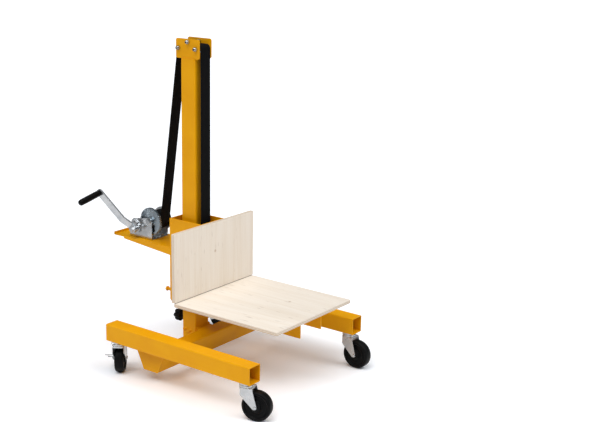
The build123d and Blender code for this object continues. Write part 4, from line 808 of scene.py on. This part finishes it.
class STACKER_OT_welds(Operator):
    """Lay the weld beads of the frame and the carriage"""

    bl_idname = "stacker.welds"
    bl_label = "Weld beads"

    def execute(self, context):
        sizes = context.scene.stacker_sizes
        radius, ripple = sizes.bead, sizes.ripple

        def line(start, end, lift, seed, scale=1.0):
            """Straight bead between two points."""
            return bead_along(np.array([start, end], float), lift, radius * scale, ripple, seed)

        low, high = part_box("mast_post")
        beam_low, beam_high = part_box("cross_beam")
        standoff = 18 * MM
        beam_back = low.y - standoff
        top, foot = beam_high.z + 0.3 * MM, beam_low.z + 4 * MM
        # Tacks on the mast's sides: their places behind its front and below the beam's top, in mm.
        tacks = ((12, -20), (26, -13), (33, -18), (47, -10), (55, -14))
        half_tack = (0, 4.5 * MM, 3 * MM)
        # Mast foot: across its front on the standoff's top, down both corners, and the tacks.
        y = low.y - 0.6 * MM
        base = [line((low.x, y, top), (high.x, y, top), (0, -1, 1), seed=3, scale=1.5)]
        for side in SIDES:
            x, y = side * (high.x + 0.4 * MM), low.y + 0.8 * MM
            base.append(line((x, y, foot), (x, y, top + 7 * MM), (side, 1, 0), seed=5 + side, scale=1.7))
            for n, (dy, dz) in enumerate(tacks):
                middle = np.array([side * high.x, low.y + dy * MM, top + dz * MM])
                reach = np.array(half_tack) * [1, 1, (-1) ** n]
                base.append(line(middle - reach, middle + reach, (side, 0, 1), seed=11 + n + side, scale=1.5))
            # Standoff: down its corner with the beam's back.
            x, y = side * (high.x + 4.4 * MM), beam_back + 0.4 * MM
            base.append(line((x, y, foot), (x, y, top - 2 * MM), (side, 1, 0), seed=81 + side, scale=1.2))
        # Legs: along their lower inner corners on the beam, and along the end plates under them.
        plate_low, plate_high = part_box("beam_end_plates")
        for side in SIDES:
            leg_low, leg_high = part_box("left_leg" if side > 0 else "right_leg")
            x, z = (leg_low.x if side > 0 else leg_high.x) + side * 1.2 * MM, leg_low.z + 0.6 * MM
            base.append(line((x, beam_low.y + 8 * MM, z), (x, beam_back - 4 * MM, z), (-side, 0, 1),
                             seed=7 + side))
            x, z, short = side * (plate_high.x + 0.4 * MM), leg_low.z - 0.8 * MM, 9 * MM
            base.append(line((x, plate_low.y + short, z), (x, plate_high.y - short, z), (side, 0, -1),
                             seed=17 + side, scale=0.8))
        # Head: along the mast's top rim, outside each head plate.
        for side, name in ((1, "left_head_plate"), (-1, "right_head_plate")):
            plate_low, plate_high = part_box(name)
            x, z, short = (plate_high.x if side > 0 else plate_low.x) + side * MM, high.z + 0.2 * MM, 6 * MM
            base.append(line((x, low.y + short, z), (x, high.y - short, z), (side, 0, 1), seed=23 + side,
                             scale=0.75))
        # Boss and lower stop on the mast's rear face.
        boss_low, boss_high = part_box("knob_boss")
        t = round_angles(40)
        r = (boss_high.x - boss_low.x) / 2
        ring = np.stack([r * np.cos(t), np.full_like(t, boss_low.y + 0.4 * MM),
                         (boss_low.z + boss_high.z) / 2 + r * np.sin(t)], -1)
        base.append(bead_along(ring, (0, 1, 0), radius * 0.8, ripple, seed=31, wrap=True))
        stop_low, stop_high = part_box("lower_stop")
        y, short = stop_low.y + 0.3 * MM, 2 * MM
        for x in (stop_low.x, stop_high.x):
            base.append(line((x, y, stop_low.z + short), (x, y, stop_high.z - short), (0, 1, 0), seed=37))
        piece("frame_welds", joined(base), "powder_coated_steel", "base")

        carriage = []
        plate_low, plate_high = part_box("rear_plate")
        tray_low, tray_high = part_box("winch_tray")
        tray_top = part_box("winch_frame")[0].z
        seam = tray_top + 0.5 * MM
        # Rear corners of the sleeve: stitches 24 mm long, at these heights over the rear plate's foot.
        stitches, half = (0.034, 0.102, 0.144, 0.234, 0.277), 0.012
        for side in SIDES:
            x, y = side * plate_high.x, plate_high.y
            for n, height in enumerate(stitches):
                z = plate_low.z + height
                carriage.append(line((x, y, z - half), (x, y, z + half), (0, 1, 0), seed=41 + n + 7 * side,
                                     scale=0.8))
            # Winch tray: its side flange on the cheek, and the seams along the cheek and the rear plate.
            x, front = side * (tray_high.x - 2.6 * MM), tray_low.y
            carriage.append(line((x, front, tray_low.z + 4 * MM), (x, front, tray_top + MM), (side, -1, 0),
                                 seed=61 + side, scale=0.9))
            x = side * (tray_high.x - MM)
            carriage.append(line((x, front + 2 * MM, seam), (x, y, seam), (side, 0, 1), seed=67 + side,
                                 scale=0.8))
        x, y = plate_high.x - 2 * MM, plate_high.y + 3.2 * MM
        carriage.append(line((-x, y, seam), (x, y, seam), (0, 1, 1), seed=71, scale=0.9))
        piece("carriage_welds", joined(carriage), "powder_coated_steel", "carriage")
        return {"FINISHED"}


class STACKER_OT_wheels(Operator):
    """Mould the four wheels: tread with a parting line, bevelled shoulders, dished web, hub"""

    bl_idname = "stacker.wheels"
    bl_label = "Wheels"

    def execute(self, context):
        moulded_rubber(context.scene.stacker_colours)
        # Half section (x, r) in mm, from the bore over the hub, web, rim and shoulder to the parting line.
        half = [(0, 5.06), (17.9, 5.06), (18.4, 5.6), (18.4, 14.6), (17.8, 16.4), (16.6, 17.2), (11.6, 18.2),
                (10.3, 20.0), (10.1, 25.4), (10.6, 26.4), (11.1, 27.4), (10.6, 28.4), (10.1, 29.4),
                (10.1, 35.6), (10.6, 37.4), (14.8, 40.4), (15.7, 41.0), (16.0, 41.9), (16.0, 43.6),
                (15.75, 45.0), (15.0, 47.0), (13.6, 48.6), (11.6, 49.5), (9.4, 49.8), (1.0, 49.85),
                (0.5, 50.0)]
        half = np.array(half) * MM
        profile = np.vstack([half, half[:0:-1] * [-1, 1]])
        for name in CASTERS:
            roll = JOINTS[name + "_roll"]
            shape = turned(profile, roll["pos_m"], roll["axis"], context.scene.stacker_sizes.facets)
            made = piece(name + "_moulded_wheel", shape, "moulded_rubber", name + "_wheel",
                         sharp=28)
            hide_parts(name + "_wheel")
        return {"FINISHED"}


class STACKER_OT_hand_parts(Operator):
    """Mould the crank grip, the star knob and the guide pads"""

    bl_idname = "stacker.hand_parts"
    bl_label = "Grip, knob and pads"

    def execute(self, context):
        sizes = context.scene.stacker_sizes
        moulded_plastic(context.scene.stacker_colours)
        dress("moulded_polypropylene", "side_guide_pads", "rear_guide_pad")

        # Grip: r(s) = R - swell s^2 for s from -1 at the crank to 1, less a groove behind the collar at the
        # crank, with a blind bore for the bolt, and ends rounded as quarter ellipses, the outer one longer.
        low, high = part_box("grip")
        centre = (np.array(low) + np.array(high)) / 2
        half, radius, bolt, blind = 55 * MM, 11.5 * MM, 4.08 * MM, 8 * MM
        s = np.sin(np.linspace(-pi / 2, pi / 2, 121))
        groove = 0.5 * MM * np.exp(-((s + 0.86) / 0.03) ** 2)
        ends = np.where(s < 0, np.clip((-s - 0.94) / 0.06, 0, 1), np.clip((s - 0.87) / 0.13, 0, 1))
        rounding = np.where(s < 0, 4.5, 7.5) * MM * (1 - np.sqrt(1 - ends ** 2))
        r = radius - sizes.swell * s ** 2 - groove - rounding
        bore = np.array([[half - blind, bolt], [-half, bolt]])
        profile = np.vstack([bore, np.stack([s * half, r], -1)])
        shape = turned(profile, centre, JOINTS["grip_spin"]["axis"], 64, ring=False)
        made = piece("moulded_grip", shape, "moulded_polypropylene", "grip")
        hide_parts("grip")

        # Knob: r(s, t) = b(s) + w(s) (lobe(t) - core); a lobe is the far side of a circle off the middle.
        low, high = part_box("star_knob")
        pivot = JOINTS["knob_turn"]["pos_m"]
        core, lobe, sector = 15.87 * MM, 7.13 * MM, pi / 3
        t = round_angles(144)
        off = (t + sector / 2) % sector - sector / 2
        inside = lobe ** 2 - (core * np.sin(off)) ** 2
        far = core * np.cos(off) + np.sqrt(np.clip(inside, 0, None))
        outline = np.where(inside > 0, np.maximum(far, core), core)
        # Stations: distance from the boss, radius b and lobe weight w, in mm.
        rows = np.array([(0.0, 11.4, 0), (0.6, 12, 0), (15, 12, 0), (17.4, 12.3, 0.05), (19.0, 13.3, 0.4),
                         (20.0, 14.5, 0.8), (21.4, 15.5, 0.96), (23.5, 15.87, 1), (40.5, 15.87, 1),
                         (44.0, 15.5, 0.97), (46.2, 14.6, 0.86), (47.4, 13.1, 0.66), (47.7, 11.2, 0.4),
                         (47.5, 9.0, 0.1), (46.6, 8.2, 0.0), (46.4, 2.0, 0.0)])
        station, b, w = rows[:, 0:1], rows[:, 1:2], rows[:, 2:3]
        r = b * MM + w * (outline[None, :] - core)
        y = np.broadcast_to(high.y - (station.max() - station) * MM, r.shape)
        points = np.stack([r * np.cos(t), y, pivot[2] + r * np.sin(t)], -1)
        made = piece("moulded_knob", skin(points), "moulded_polypropylene", "knob", sharp=40)
        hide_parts("star_knob")
        length, root = 17 * MM, 4.5 * MM
        stud = threaded((0, low.y, pivot[2]), (0, 1, 0), length, root, sizes.thread)
        piece("knob_stud", stud, "zinc_plated_turned_steel", "knob")
        return {"FINISHED"}


class STACKER_OT_threads(Operator):
    """Cut the threads that show on the adjusting screws and the mast-head bolts"""

    bl_idname = "stacker.threads"
    bl_label = "Screw threads"

    def execute(self, context):
        pitch = context.scene.stacker_sizes.thread
        # Adjusting screws: from the locknut on the rear plate to the hexagon head.
        low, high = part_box("adjusting_screws")
        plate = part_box("rear_plate")[1].y
        locknut, head, head_radius, root = 6 * MM, 6.5 * MM, 8.5 * MM, 4.95 * MM
        x, y, z = high.x - head_radius, plate + locknut, (low.z + high.z) / 2
        length = high.y - head - plate - locknut
        screws = [threaded((side * x, y, z), (0, 1, 0), length, root, pitch) for side in SIDES]
        piece("adjuster_threads", joined(screws), "powder_coated_steel", "carriage")
        # Mast-head bolts: past the nuts of the two roller axles and of the tie bolt above them.
        low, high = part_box("head_bolts")
        mast_low, mast_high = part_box("mast_post")
        end, length, root, tie_drop = 6.2 * MM, 5.2 * MM, 4.85 * MM, 10 * MM
        tie = ((mast_low.y + mast_high.y) / 2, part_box("left_head_plate")[1].z - tie_drop)
        axles = (JOINTS[name]["pos_m"][1:] for name in ("front_head_spin", "rear_head_spin"))
        ends = [threaded((low.x + end, y, z), (-1, 0, 0), length, root, pitch) for y, z in (*axles, tie)]
        piece("head_bolt_threads", joined(ends), "zinc_plated_turned_steel", "base")
        return {"FINISHED"}


class STACKER_PT_looks(Panel):
    """Sidebar panel with the stacker's operators, colours and sizes"""

    bl_idname = "STACKER_PT_looks"
    bl_label = "Winch stacker"
    bl_space_type = "VIEW_3D"
    bl_region_type = "UI"
    bl_category = "Stacker"

    def draw(self, context):
        for operator in OPERATORS:
            self.layout.operator(operator.bl_idname)
        for group in (context.scene.stacker_colours, context.scene.stacker_sizes):
            box = self.layout.box()
            for name in group.__annotations__:
                box.prop(group, name)


OPERATORS = (STACKER_OT_stage, STACKER_OT_painted_steel, STACKER_OT_zinc_hardware, STACKER_OT_boards,
             STACKER_OT_strap, STACKER_OT_welds, STACKER_OT_wheels, STACKER_OT_hand_parts, STACKER_OT_threads)
CLASSES = (StackerColours, StackerSizes, *OPERATORS, STACKER_PT_looks)


def register():
    """Register the classes and hang the properties on the scene."""
    for cls in CLASSES:
        bpy.utils.register_class(cls)
    bpy.types.Scene.stacker_colours = PointerProperty(type=StackerColours)
    bpy.types.Scene.stacker_sizes = PointerProperty(type=StackerSizes)


def unregister():
    """Take the properties and the classes away again."""
    del bpy.types.Scene.stacker_sizes
    del bpy.types.Scene.stacker_colours
    for cls in reversed(CLASSES):
        bpy.utils.unregister_class(cls)


def main():
    """Build every piece in order."""
    register()
    bpy.ops.stacker.stage()
    bpy.ops.stacker.painted_steel()
    bpy.ops.stacker.zinc_hardware()
    bpy.ops.stacker.boards()
    bpy.ops.stacker.strap()
    bpy.ops.stacker.welds()
    bpy.ops.stacker.wheels()
    bpy.ops.stacker.hand_parts()
    bpy.ops.stacker.threads()


if __name__ == "__main__":
    main()
